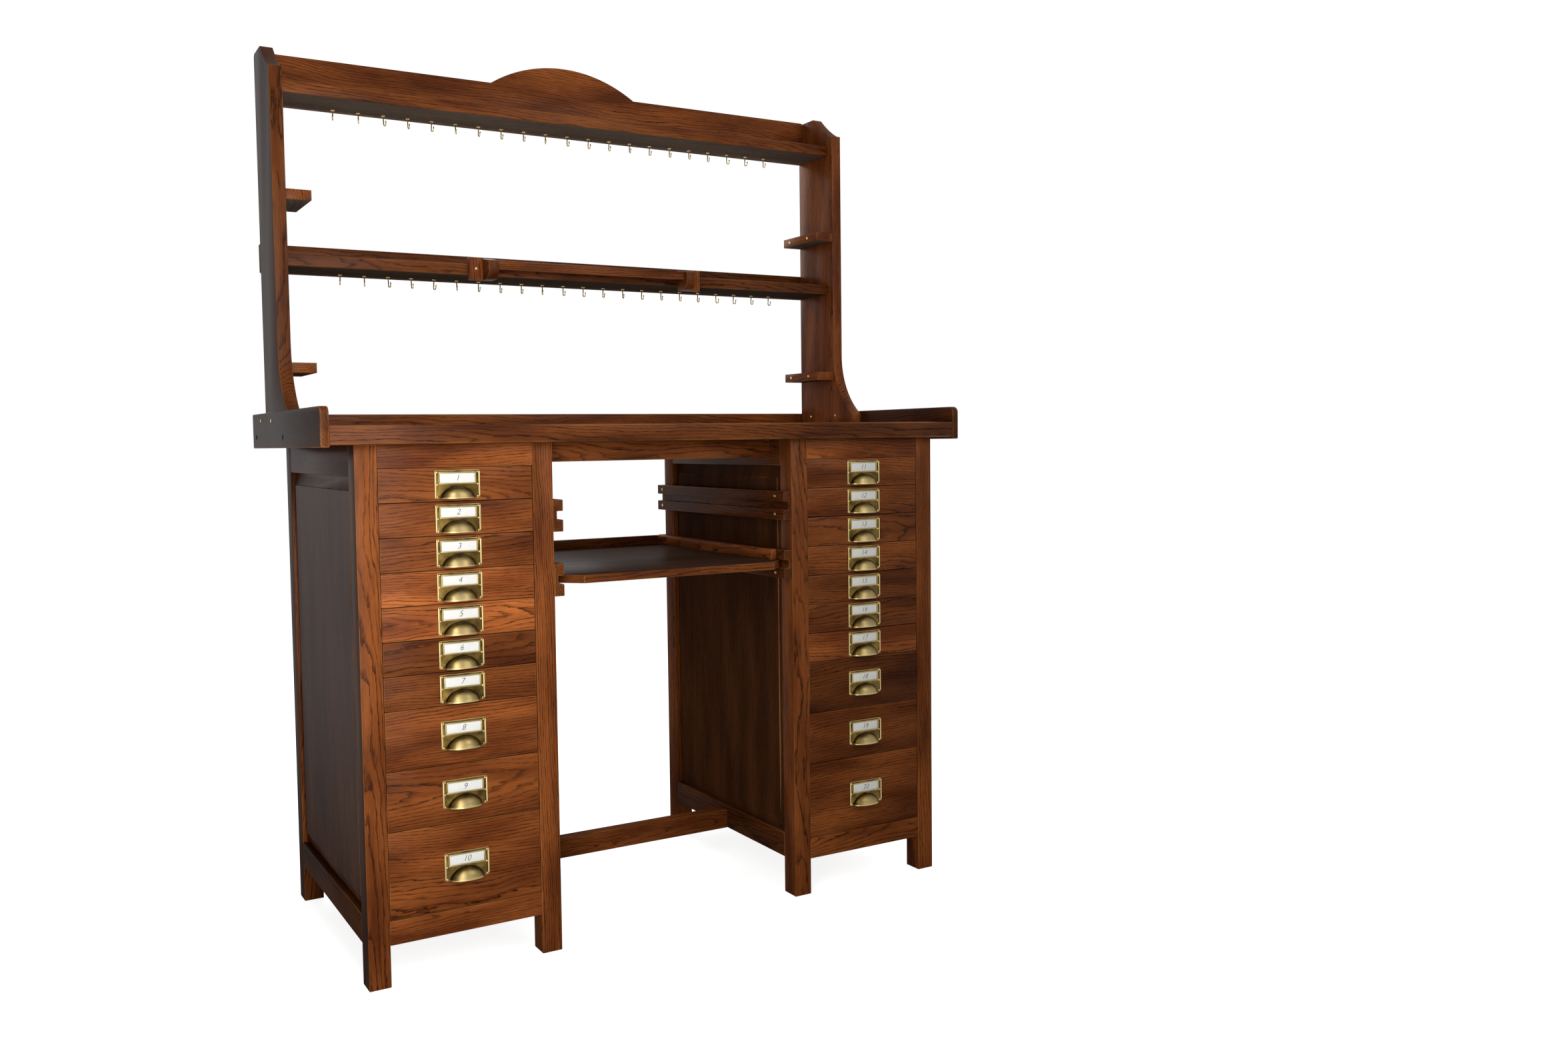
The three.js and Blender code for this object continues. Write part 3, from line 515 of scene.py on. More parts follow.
for name in DRAWERS:
    low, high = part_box(name)
    back = low[Y] + FRONT_T
    rear = high[Y] - REAR_T
    floor = low[Z] + BOX_LIFT
    rim = high[Z] - BOX_DROP
    groove_low = low[Z] - FRONT_GAP / 2 + RUNNER_RISE - RUN
    groove_high = groove_low + RUNNER_H + 2 * RUN
    front = slab((low[X], high[X]), (low[Y], back), (low[Z], high[Z]), X, tone=FRONT_TONES.get(name))
    # The right pedestal's fronts are painted darker, a painted shade
    front["tone"] = [value + (RIGHT_SHADE_TONE if low[X] > 0 else 0) for value in front["tone"]]
    parts = [front]
    for face, inward in ((low[X], 1), (high[X], -1)):
        inner = face + inward * SIDE_T
        groove = face + inward * GROOVE_D
        section = [
            (face, floor), (inner, floor), (inner, rim), (face, rim),
            (face, groove_high), (groove, groove_high), (groove, groove_low), (face, groove_low),
        ]
        parts.append(refinished(plank(section, Y, (back, high[Y]), Y, ease=BOX_EASE)))
    inside = low[X] + SIDE_T, high[X] - SIDE_T
    parts.append(refinished(slab(inside, (rear, high[Y]), (floor, rim), X, ease=BOX_EASE)))
    parts.append(refinished(slab(inside, (back, rear), (floor, floor + BOTTOM_T), X, ease=BOTTOM_EASE)))
    drawer = assembled(f"{name}_oak", parts, oak, bare_oak)
    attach(drawer, name)
    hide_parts(name)

# Cup pulls: pressed brass plates with a rimmed window for a card above a hollow cup, darkened with age,
# darker on the cup towards the plate, and golden on the edges and rims where hands rub them. The crown of
# the cup is painted golden, a painted highlight.
PLATE_T = 1.6 * MM
PLATE_CORNER_R = 3 * MM
PLATE_EASE = 0.4 * MM
BEAD_W = 2.5 * MM
BEAD_T = 1.2 * MM
BEAD_WEAR = 0.6
CARD_W = 63.5 * MM
CARD_H = 17 * MM
CARD_RISE = 2.3 * MM
RIM_W = 2.2 * MM
RIM_T = 1.6 * MM
RIM_TONE = -0.3
RIM_WEAR = 0.25
RIM_EDGE_WEAR = 0.7
TRIM_EASE = 0.5 * MM
CUP_W = 62.6 * MM
CUP_H = 22 * MM
CUP_OUT = 17 * MM
CUP_T = 1.2 * MM
CUP_ROUND = 24
CUP_TALL = 10
CUP_DARK_REACH = 9 * MM
CUP_DARK_TONE = 0.9
CROWN_HIGHLIGHT = 0.75
LIP_OUT = 0.7 * MM
LIP_H = 1.8 * MM
LIP_WEAR = 0.55
LIP_EDGE_WEAR = 0.8


def aged_brass(name, gold, brown, rubbed):
    """Lacquered sheet brass: olive brown where the lacquer has darkened, and golden where hands rub it. A
    tone below zero darkens it towards near black, and a tone above zero paints it golden, a painted
    highlight."""
    stain_w = 16 * MM
    stain_edge = {1: 0.32, 2: 0.7}
    scuff_w = 1.5 * MM
    satin = {3: 0.3, 4: 0.42}
    near_black = linear("#1d160b")
    material, tree, shader = bare_finish(name)
    place = node(tree, "ShaderNodeTexCoord").outputs["Object"]
    worn = node(tree, "ShaderNodeAttribute", attribute_name="worn").outputs["Fac"]
    tone = node(tree, "ShaderNodeAttribute", attribute_name="tone").outputs["Fac"]
    stain = node(tree, "ShaderNodeTexNoise", {"Vector": place, "Scale": 1 / stain_w, "Detail": 3.0})
    stain = node(tree, "ShaderNodeMapRange", {0: stain, **stain_edge})
    colour = node(tree, "ShaderNodeMix", {0: stain, 6: linear(gold), 7: linear(brown)}, data_type="RGBA")
    darkening = node(tree, "ShaderNodeMath", {0: tone, 1: -1.0}, operation="MULTIPLY", use_clamp=True)
    colour = node(tree, "ShaderNodeMix", {0: darkening, 6: colour, 7: near_black}, data_type="RGBA")
    # The golden share comes from edges that hands rub, and from a tone above zero, which is a painted
    # highlight
    bare = node(tree, "ShaderNodeMath", {0: worn, 1: tone}, operation="MAXIMUM")
    colour = node(tree, "ShaderNodeMix", {0: bare, 6: colour, 7: linear(rubbed)}, data_type="RGBA")
    gloss = node(tree, "ShaderNodeMapRange", {0: stain, **satin})
    scuff = node(tree, "ShaderNodeTexNoise", {"Vector": place, "Scale": 1 / scuff_w, "Detail": 2.0})
    bump = node(tree, "ShaderNodeBump", {"Height": scuff, "Strength": 0.1, "Distance": 0.1 * MM})
    feed(tree, shader, {"Base Color": colour, "Roughness": gloss, "Normal": bump, "Metallic": 1.0})
    return material


def cup(middle, face, foot):
    """A hollow half dome against the plate, open below, with a thicker lip along its lower edge."""
    shells = []
    for shrink in (0, CUP_T):
        rows = []
        for j in range(CUP_TALL + 1):
            tilt = math.pi / 2 * j / CUP_TALL
            lip = LIP_OUT if shrink == 0 and j == 0 else 0
            row = []
            for i in range(CUP_ROUND + 1):
                turn = math.pi * i / CUP_ROUND
                x = (CUP_W / 2 - shrink + lip) * math.cos(tilt) * math.cos(turn)
                y = (CUP_OUT - shrink + lip) * math.cos(tilt) * math.sin(turn)
                z = (CUP_H - shrink) * math.sin(tilt)
                row.append(Vector((middle + x, face - y, foot + z)))
            rows.append(row)
        shells.append(rows)
    outer, inner = shells
    lip = [place + Vector((0, 0, LIP_H)) for place in outer[0]]
    outer = [outer[0], lip] + outer[1:]
    places = [place for rows in (outer, inner) for row in rows for place in row]
    # The cup is darker towards the plate, and its crown is painted golden, a painted highlight
    tone = []
    for place in places:
        out = face - place.y
        near_plate_dark = CUP_DARK_TONE * (out / CUP_DARK_REACH - 1)
        tone.append(near_plate_dark if out < CUP_DARK_REACH else CROWN_HIGHLIGHT * (out - CUP_DARK_REACH) / CUP_OUT)
    across = CUP_ROUND + 1
    start = len(outer) * across
    faces = []
    worn = []
    for rows, base, flip in ((outer, 0, False), (inner, start, True)):
        for j in range(len(rows) - 1):
            for i in range(CUP_ROUND):
                a = base + j * across + i
                quad = [a, a + 1, a + 1 + across, a + across]
                faces.append(quad[::-1] if flip else quad)
                worn.append(LIP_WEAR if j == 0 and not flip else 0.0)
    for i in range(CUP_ROUND):
        faces.append([start + i, start + i + 1, i + 1, i])
        worn.append(LIP_EDGE_WEAR)
    return {
        "places": places,
        "faces": faces,
        "grain": [tuple(place) for place in places],
        "tone": tone,
        "worn": worn,
        "round": True,
    }


def rounded(low, high, radius, steps=4):
    """Outline of a rectangle with round corners."""
    points = []
    for corner in range(4):
        right = corner in (0, 1)
        upper = corner in (1, 2)
        centre = (
            high[0] - radius if right else low[0] + radius,
            high[1] - radius if upper else low[1] + radius,
        )
        for i in range(steps + 1):
            turn = math.pi / 2 * (corner - 1 + i / steps)
            points.append((centre[0] + radius * math.cos(turn), centre[1] + radius * math.sin(turn)))
    return points


def plate_place(name):
    """A plate's middle from left to right, its centre in height, and its front face."""
    low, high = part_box(name)
    return (low[X] + high[X]) / 2, (low[Z] + high[Z]) / 2, high[Y] - PLATE_T


brass = aged_brass("aged_brass", "#6c572b", "#372a14", "#d4bf88")
PULLS = [name.replace("drawer", "pull") for name in DRAWERS]

for name in PULLS:
    low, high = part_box(name)
    middle, centre, face = plate_place(name)
    outline = rounded((low[X], low[Z]), (high[X], high[Z]), PLATE_CORNER_R)
    parts = [plank(outline, Y, (face, high[Y]), X, ease=PLATE_EASE, tone=0)]
    bead_z = low[Z] + PLATE_CORNER_R, high[Z] - PLATE_CORNER_R
    for x in ((low[X], low[X] + BEAD_W), (high[X] - BEAD_W, high[X])):
        bead = slab(x, (face - BEAD_T, face), bead_z, Z, ease=TRIM_EASE, tone=0)
        bead["worn"] = [max(BEAD_WEAR, wear) for wear in bead["worn"]]
        parts.append(bead)
    card_z = centre + CARD_RISE, centre + CARD_RISE + CARD_H
    card_x = middle - CARD_W / 2, middle + CARD_W / 2
    frame_x = card_x[0] - RIM_W, card_x[1] + RIM_W
    rims = (
        (frame_x, (card_z[0] - RIM_W, card_z[0]), X),
        (frame_x, (card_z[1], card_z[1] + RIM_W), X),
        ((frame_x[0], card_x[0]), card_z, Z),
        ((card_x[1], frame_x[1]), card_z, Z),
    )
    for x, z, way in rims:
        rim = slab(x, (face - RIM_T, face), z, way, ease=TRIM_EASE, tone=RIM_TONE)
        rim["worn"] = [max(RIM_WEAR, RIM_EDGE_WEAR * wear) for wear in rim["worn"]]
        parts.append(rim)
    parts.append(cup(middle, face, low[Z]))
    pull = assembled(f"{name}_brass", parts, brass)
    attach(pull, name.replace("pull", "drawer"))
    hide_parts(name)

# Cards: slips of white paper behind the rims of the pulls, each with the number of its drawer in thin grey
# sloping figures.
CARD_T = 0.4 * MM
CARD_PLAY = 0.2 * MM
CARD_EASE = 0.05 * MM
INK_T = 0.05 * MM
FIGURE_SIZE = 14.5 * MM
FIGURE_SLOPE = 0.28
FIGURE_THIN = 0.12 * MM


def card_paper(name, pale, shade, spacing):
    """Uncoated paper: matt, with a faint mottle of fibres a few millimetres long."""
    material, tree, shader = bare_finish(name)
    place = node(tree, "ShaderNodeTexCoord").outputs["Object"]
    mottle = node(tree, "ShaderNodeTexNoise", {"Vector": place, "Scale": 1 / spacing, "Detail": 3.0})
    colour = node(tree, "ShaderNodeMix", {0: mottle, 6: linear(pale), 7: linear(shade)}, data_type="RGBA")
    bump = node(tree, "ShaderNodeBump", {"Height": mottle, "Strength": 0.1, "Distance": 0.1 * MM})
    feed(tree, shader, {"Base Color": colour, "Normal": bump, "Roughness": 0.8})
    return material


def figures(text, middle, centre, face):
    """Sloping figures as a thin mesh that stands on the card and faces the front."""
    curve = bpy.data.curves.new("figures", "FONT")
    curve.body = text
    curve.size = FIGURE_SIZE
    curve.shear = FIGURE_SLOPE
    curve.offset = -FIGURE_THIN
    curve.extrude = INK_T / 2
    curve.align_x = "CENTER"
    curve.align_y = "CENTER"
    holder = placed("figures", curve)
    drawn = holder.evaluated_get(bpy.context.evaluated_depsgraph_get())
    mesh = bpy.data.meshes.new_from_object(drawn)
    places = [Vector((middle + vert.co.x, face - vert.co.z, centre + vert.co.y)) for vert in mesh.vertices]
    faces = [list(face.vertices) for face in mesh.polygons]
    bpy.data.objects.remove(holder)
    return {
        "places": places,
        "faces": faces,
        "grain": [tuple(place) for place in places],
        "tone": [0.0] * len(places),
        "worn": [0.0] * len(faces),
    }


paper = card_paper("white_card", "#f1f0ec", "#e3e1db", 4 * MM)
ink = card_paper("grey_ink", "#48484c", "#5c5c60", 1.5 * MM)

for number, name in enumerate(PULLS, 1):
    middle, centre, face = plate_place(name)
    card_low = centre + CARD_RISE
    front = face - CARD_T
    half = CARD_W / 2 - CARD_PLAY
    card_z = card_low + CARD_PLAY, card_low + CARD_H - CARD_PLAY
    slip = slab((middle - half, middle + half), (front, face), card_z, X, ease=CARD_EASE)
    label = refinished(figures(str(number), middle, card_low + CARD_H / 2, front - INK_T / 2))
    card = assembled(f"card_{number:02d}", [slip, label], paper, ink)
    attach(card, f"drawer_{number:02d}")

# Worktop: wide oak boards glued edge to edge, with a rounded front edge. Strips on both ends and along the
# rear stand above it, so that nothing rolls off. The end strips are painted darker, a painted shade, most
# of all outside, where they also have more varnish.
BOARD_SHARES = (0.19, 0.22, 0.17, 0.24, 0.18)
NOSE_R = 3 * MM
NOSE_STEPS = 4
BOARD_EASE = 0.4 * MM
FRONT_BOARD_TONE = -2.0
FRONT_BOARD_LOG = (0.7, 0.75)
END_CORNER_R = 12 * MM
END_EASE = 2.2 * MM
END_SHADE_TONE = -2.4


def arc(centre, radius, start, end, steps):
    """Points on an arc, both ends included."""
    turns = [start + (end - start) * i / steps for i in range(steps + 1)]
    return [(centre[0] + radius * math.cos(turn), centre[1] + radius * math.sin(turn)) for turn in turns]


def nosed(y, z):
    """Outline on Y and Z of a board whose two front edges are rounded."""
    lower = arc((y[0] + NOSE_R, z[0] + NOSE_R), NOSE_R, -math.pi / 2, -math.pi, NOSE_STEPS)
    upper = arc((y[0] + NOSE_R, z[1] - NOSE_R), NOSE_R, math.pi, math.pi / 2, NOSE_STEPS)
    return [(y[1], z[0])] + lower + upper + [(y[1], z[1])]


x, y, z = zip(*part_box("worktop"))
parts = []
front = y[0]
for place, share in enumerate(BOARD_SHARES):
    rear = front + share * (y[1] - y[0])
    if place == 0:
        section = nosed((front, rear), z)
        parts.append(plank(section, X, x, X, BOARD_EASE, FRONT_BOARD_TONE, FRONT_BOARD_LOG))
    else:
        parts.append(slab(x, (front, rear), z, X, BOARD_EASE))
    front = rear
worktop = assembled("worktop_oak", parts, oak)
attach(worktop, "bench")
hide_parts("worktop")
worktop_z = z[1]

for name in ("left_end_board", "right_end_board"):
    x, y, z = zip(*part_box(name))
    centre = y[0] + END_CORNER_R, z[1] - END_CORNER_R
    corner = arc(centre, END_CORNER_R, math.pi / 2, math.pi, 2 * NOSE_STEPS)
    outline = [(y[1], z[0]), (y[1], z[1])] + corner + [(y[0], z[0])]
    outward = x[0] if name.startswith("left") else x[1]
    # The end board is painted darker all over, and more on its outer face, a painted shade
    board = faced(plank(outline, X, x, Y, END_EASE, END_SHADE_TONE), X, outward)
    end_board = assembled(f"{name}_oak", [board], oak, side_oak)
    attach(end_board, "bench")
    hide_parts(name)

x, y, z = zip(*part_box("back_board"))
back_board = assembled("back_board_oak", [plank(nosed(y, (worktop_z, z[1])), X, x, X)], oak)
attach(back_board, "bench")
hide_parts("back_board")

# Uprights: thick oak blades with a flared foot housed in the worktop and a hollowed ear at the top, painted
# dark on the outer side as shade. Two blocks screwed to the inner side of each, one above the other and
# painted grey below as shade and sheen, carry flat tools.
UPRIGHT_D = 143 * MM
UPRIGHT_T = 25.5 * MM
FOOT_CURVE_H = 144 * MM
FOOT_TOE_H = 25 * MM
FOOT_STEPS = 24
EAR_H = 55 * MM
EAR_LAND = 57 * MM
EAR_CORNER = 6 * MM
EAR_STEP = 6 * MM
EAR_SAG = 9 * MM
EAR_STEPS = 10
BRACKET_RISES = (109 * MM, 443 * MM)
BRACKET_H = 20 * MM
BRACKET_W = 48 * MM
BRACKET_EASE = 0.9 * MM
UPRIGHT_TONES = {"left": -1.6, "right": 1.0}
UPRIGHT_LOGS = {"left": (1.2, 0.65), "right": (1.2, 0.1)}

low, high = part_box("right_upright")
upright_rear = high[Y]
upright_front = upright_rear - UPRIGHT_D
upright_outer = high[X]
upright_inner = upright_outer - UPRIGHT_T
toe = low[Y]
ear_top = high[Z]
ear_front = ear_top - EAR_H
foot_top = worktop_z + FOOT_TOE_H + FOOT_CURVE_H
reach = upright_front - toe
foot_r = (reach ** 2 + FOOT_CURVE_H ** 2) / (2 * reach)
foot_turn = math.atan2(FOOT_CURVE_H, foot_r - reach)
slope_rear = upright_rear - EAR_CORNER - EAR_LAND
slope_front = upright_front + EAR_STEP
sag = Vector(((slope_rear + slope_front) / 2, (ear_top + ear_front) / 2 - EAR_SAG))

blade = [
    (upright_rear, worktop_z),
    (upright_rear, ear_top - EAR_CORNER),
    (upright_rear - EAR_CORNER, ear_top),
]
for i in range(EAR_STEPS + 1):
    t = i / EAR_STEPS
    point = (1 - t) ** 2 * Vector((slope_rear, ear_top)) + 2 * t * (1 - t) * sag
    point += t ** 2 * Vector((slope_front, ear_front))
    blade.append(tuple(point))
blade.append((upright_front, ear_front))
blade += arc((upright_front - foot_r, foot_top), foot_r, 0, -foot_turn, FOOT_STEPS)
blade.append((toe, worktop_z))

# Undersides have no varnish and are painted grey and dark, a painted shade and sheen
dull_oak = stained_oak("dull_oak", "#7a6c60", "#6a5d52", "#33291f", 0.0)

for word, side in SIDES:
    x = sided(side, upright_inner, upright_outer)
    board = plank(blade, X, x, Z, tone=UPRIGHT_TONES[word], log=UPRIGHT_LOGS[word])
    # The outer face takes the darker side finish, a painted shade
    parts = [faced(board, X, side * upright_outer)]
    for rise in BRACKET_RISES:
        low = worktop_z + rise
        x = sided(side, upright_inner - BRACKET_W, upright_inner)
        block = slab(x, (upright_front, upright_rear), (low, low + BRACKET_H), Y, ease=BRACKET_EASE)
        # The block's underside is painted grey, a painted shade and sheen
        parts.append(faced(block, Z, low, 2))
    upright = assembled(f"{word}_upright_oak", parts, oak, side_oak, dull_oak)
    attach(upright, "bench")
    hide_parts(f"{word}_upright")

# Shelves and crest: two oak boards with rounded front edges, housed between the uprights. An arched crest
# board stands behind the upper one, and a rail runs behind the lower one and over the backs of the
# uprights. The undersides of all four are painted grey, a painted shade and sheen.
SHELF_T = 23.5 * MM
SHELVES = (("middle_shelf", -1.9, (0.4, 0.8)), ("top_shelf", 0.6, (2.9, 0.75)))
ARCH_HALF = 172 * MM
ARCH_RISE = 51 * MM
ARCH_STEPS = 40
CREST_TONE = 1.7
CREST_LOG = (0.35, 0.35)
BACK_RAIL_TONE = -1.5

under = {}
for name, tone, log in SHELVES:
    x, y, z = zip(*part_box(name))
    under[name] = z[1] - SHELF_T
    section = nosed(y, (under[name], z[1]))
    board = faced(plank(section, X, x, X, tone=tone, log=log), Z, under[name])
    shelf = assembled(f"{name}_oak", [board], oak, dull_oak)
    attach(shelf, "bench")
    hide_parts(name)

x, y, z = zip(*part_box("crest_board"))
shoulder = z[1] - ARCH_RISE
arch_r = (ARCH_HALF ** 2 + ARCH_RISE ** 2) / (2 * ARCH_RISE)
arch_turn = math.asin(ARCH_HALF / arch_r)
top_edge = arc((0, z[1] - arch_r), arch_r, math.pi / 2 - arch_turn, math.pi / 2 + arch_turn, ARCH_STEPS)
outline = [(x[0], z[0]), (x[1], z[0]), (x[1], shoulder)] + top_edge + [(x[0], shoulder)]
board = faced(plank(outline, Y, y, X, tone=CREST_TONE, log=CREST_LOG), Z, z[0])
crest = assembled("crest_board_oak", [board], oak, dull_oak)
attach(crest, "bench")
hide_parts("crest_board")

x, y, z = zip(*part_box("middle_back_rail"))
board = faced(slab(x, y, z, X, tone=BACK_RAIL_TONE), Z, z[0])
back_rail = assembled("middle_back_rail_oak", [board], oak, dull_oak)
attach(back_rail, "bench")
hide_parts("middle_back_rail")

# Plier rail: an oak strip in front of the middle shelf. Two arms with rounded noses, each on a pad that a
# screw fixes to the shelf, hold it off, so that pliers hang in the gap behind it.
PLIER_PAD_W = 30 * MM
PLIER_PAD_T = 12 * MM
PLIER_ARM_W = 22 * MM
PLIER_ARM_TONE = -1.6
PLIER_SLOT = 24 * MM
PLIER_T = 11 * MM
PLIER_NOSE_R = 21 * MM
PLIER_NOSE_DROP = 9 * MM
PLIER_STRIP_RISE = 22 * MM
PLIER_STRIP_H = 18 * MM

low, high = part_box("plier_rail")
pad_x = high[X] - PLIER_PAD_W
arm_x = pad_x - PLIER_ARM_W
strip_rear = high[Y] - PLIER_SLOT
strip_low = low[Z] + PLIER_STRIP_RISE
strip_z = strip_low, strip_low + PLIER_STRIP_H
nose_centre = low[Y] + PLIER_NOSE_R, low[Z] + PLIER_NOSE_R
nose = arc(nose_centre, PLIER_NOSE_R, math.pi, math.pi * 1.5, 2 * NOSE_STEPS)
arm = [(high[Y], high[Z]), (low[Y], high[Z] - PLIER_NOSE_DROP)] + nose + [(high[Y], low[Z])]
parts = [slab((-arm_x, arm_x), (strip_rear - PLIER_T, strip_rear), strip_z, X)]
for _, side in SIDES:
    parts.append(plank(arm, X, sided(side, arm_x, pad_x), Y, tone=PLIER_ARM_TONE))
    pad_y = high[Y] - PLIER_PAD_T, high[Y]
    parts.append(slab(sided(side, pad_x, high[X]), pad_y, (low[Z], high[Z]), Z))
plier_rail = assembled("plier_rail_oak", parts, oak)
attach(plier_rail, "bench")
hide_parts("plier_rail")

# Cup hooks: brass wire bent to a hook, with a flange that stops against the underside of the shelf. They
# are screwed in by hand in two rows, so no two point quite the same way.
HOOK_WIRE_R = 1.2 * MM
HOOK_BEND_R = 4.6 * MM
HOOK_DROP = 23 * MM
HOOK_TIP = 11 * MM
HOOK_TIP_L = 0.72 * MM
HOOK_TIP_R = 0.66 * MM
HOOK_INSET = 25 * MM
HOOK_SIDES = 8
HOOK_BEND_STEPS = 10
HOOK_TURN = (0.06, 0.06, 0.3)
HOOK_SEED = 5
FLANGE_R = 4 * MM
FLANGE_H = 2 * MM
FLANGE = (
    (FLANGE_R, 0),
    (FLANGE_R, -0.3 * FLANGE_H),
    (0.75 * FLANGE_R, -0.7 * FLANGE_H),
    (HOOK_WIRE_R, -FLANGE_H),
)
HOOK_ROWS = (
    ("middle_shelf", -511.8 * MM, 526.8 * MM, 22),
    ("top_shelf", -516.8 * MM, 516.8 * MM, 21),
)


def hook_mesh():
    """One hook below the origin: wire round a bend to a blunt tip, and the turned flange."""
    bend_z = HOOK_WIRE_R + HOOK_BEND_R - HOOK_DROP
    path = [(0, 0), (0, bend_z)]
    path += arc((-HOOK_BEND_R, bend_z), HOOK_BEND_R, 0, -math.pi, HOOK_BEND_STEPS)[1:]
    tip = HOOK_TIP - HOOK_DROP
    path += [(-2 * HOOK_BEND_R, tip - HOOK_TIP_L), (-2 * HOOK_BEND_R, tip)]
    wire_turns = [2 * math.pi * k / HOOK_SIDES for k in range(HOOK_SIDES)]
    rings = []
    for i, (y, z) in enumerate(path):
        before = Vector(path[max(0, i - 1)])
        after = Vector(path[min(len(path) - 1, i + 1)])
        way = (after - before).normalized()
        across = Vector((0, -way.y, way.x))
        r = HOOK_TIP_R if i == len(path) - 1 else HOOK_WIRE_R
        rings.append([Vector((r * math.cos(a), y, z)) + r * math.sin(a) * across for a in wire_turns])
    flange_turns = [math.pi * k / HOOK_SIDES for k in range(2 * HOOK_SIDES)]
    flange = [[Vector((r * math.cos(a), r * math.sin(a), z)) for a in flange_turns] for r, z in FLANGE]
    work = bmesh.new()
    for body in (rings, flange):
        verts = [work.verts.new(place) for ring in body for place in ring]
        for face in skinned(body):
            work.faces.new([verts[i] for i in face])
    bmesh.ops.recalc_face_normals(work, faces=work.faces[:])
    mesh = bpy.data.meshes.new("cup_hook")
    work.to_mesh(mesh)
    work.free()
    return mesh


def geometry_tree(name, inputs):
    """A new geometry tree, the identifiers of its named inputs, and what they give inside it."""
    tree = bpy.data.node_groups.new(name, "GeometryNodeTree")
    keys = {}
    for title, (kind, value) in {"Geometry": ("Geometry", None), **inputs}.items():
        made = tree.interface.new_socket(title, in_out="INPUT", socket_type=f"NodeSocket{kind}")
        if value is not None:
            made.default_value = value
        keys[title] = made.identifier
    tree.interface.new_socket("Geometry", in_out="OUTPUT", socket_type="NodeSocketGeometry")
    return tree, keys, node(tree, "NodeGroupInput").outputs


def grown(piece, tree, keys, values):
    """Runs a geometry tree on an object and keeps the result as its plain mesh."""
    modifier = piece.modifiers.new(tree.name, "NODES")
    modifier.node_group = tree
    for title, value in values.items():
        modifier[keys[title]] = value
    made = piece.evaluated_get(bpy.context.evaluated_depsgraph_get())
    mesh = bpy.data.meshes.new_from_object(made)
    piece.modifiers.clear()
    piece.data = mesh


bright_brass = aged_brass("bright_brass", "#d9bd7c", "#ad8d4e", "#eadba9")

# The tree copies the hook along a line and turns each copy a little
hook_row, hook_keys, given = geometry_tree("hook_row", {
    "First Hook": ("Vector", None),
    "Last Hook": ("Vector", None),
    "Hooks": ("Int", 2),
    "Turn": ("Vector", HOOK_TURN),
})
ends = {"Start Location": given["First Hook"], "Offset": given["Last Hook"]}
line = node(hook_row, "GeometryNodeMeshLine", {"Count": given["Hooks"], **ends}, mode="END_POINTS")
back = node(hook_row, "ShaderNodeVectorMath", {0: given["Turn"], 3: -1.0}, operation="SCALE")
limits = {0: back, 1: given["Turn"], "Seed": HOOK_SEED}
turn = node(hook_row, "FunctionNodeRandomValue", limits, data_type="FLOAT_VECTOR")
copies = {"Points": line, "Instance": given["Geometry"], "Rotation": turn}
hooks = node(hook_row, "GeometryNodeInstanceOnPoints", copies)
hooks = node(hook_row, "GeometryNodeRealizeInstances", {0: hooks})
hooks = node(hook_row, "GeometryNodeSetShadeSmooth", {0: hooks})
hooks = node(hook_row, "GeometryNodeSetMaterial", {0: hooks, "Material": bright_brass})
node(hook_row, "NodeGroupOutput", {0: hooks})

for shelf_name, left, right, number in HOOK_ROWS:
    row = placed(f"{shelf_name}_hooks", hook_mesh())
    y = upright_rear - HOOK_INSET
    z = under[shelf_name]
    grown(row, hook_row, hook_keys, {"First Hook": (left, y, z), "Last Hook": (right, y, z), "Hooks": number})
    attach(row, "bench")

# Fixings: brass pins through the plates of the pulls, slotted screws in the gallery and the tray runners,
# and dark wooden plugs over the screws that hold the end boards to the worktop.
PIN_D = 3.4 * MM
PIN_H = 1.0 * MM
PIN_X = 36.8 * MM
PIN_Z = (21.4 * MM, -0.4 * MM, -22.3 * MM)
SCREW_D = 6.5 * MM
SCREW_H = 1.3 * MM
PLUG_D = 11 * MM
PLUG_H = 0.5 * MM
SLOT_SHARE = 0.16
SLOT_REACH = 1.2
SLOT_SEED = 9
HEAD_ROUND = 14
HEAD_RINGS = 8
END_SCREWS = ((217.5 * MM, 999 * MM), (112.5 * MM, 997 * MM))
END_PLUGS = ((269.5 * MM, 966 * MM), (2.5 * MM, 964 * MM))
FOOT_SCREWS_Y = (205 * MM, 100 * MM)
FOOT_SCREW_RISE = 22 * MM
BRACKET_SCREWS_Y = (144 * MM, 221 * MM)
RUNNER_SCREW_FRONT = 34 * MM
RUNNER_SCREW_REAR = 24 * MM
FORWARD = (0, -1, 0)

# The tree puts a flattened head on each point, turned to the way the surface faces
heads, head_keys, given = geometry_tree("fixing_heads", {
    "Diameter": ("Float", SCREW_D),
    "Height": ("Float", SCREW_H),
    "Slotted": ("Bool", True),
    "Finish": ("Material", None),
})
across = given["Diameter"]
tall = given["Height"]
ball = node(heads, "GeometryNodeMeshUVSphere", {"Segments": HEAD_ROUND, "Rings": HEAD_RINGS, "Radius": 0.5})
thick = node(heads, "ShaderNodeMath", {0: tall, 1: 2.0}, operation="MULTIPLY")
flat = node(heads, "ShaderNodeCombineXYZ", {0: across, 1: across, 2: thick})
plain = node(heads, "GeometryNodeTransform", {0: ball, "Scale": flat})
width = node(heads, "ShaderNodeMath", {0: across, 1: SLOT_SHARE}, operation="MULTIPLY")
length = node(heads, "ShaderNodeMath", {0: across, 1: SLOT_REACH}, operation="MULTIPLY")
bar = node(heads, "ShaderNodeCombineXYZ", {0: length, 1: width, 2: tall})
bar = node(heads, "GeometryNodeMeshCube", {"Size": bar})
raised = node(heads, "ShaderNodeCombineXYZ", {2: tall})
bar = node(heads, "GeometryNodeTransform", {0: bar, "Translation": raised})
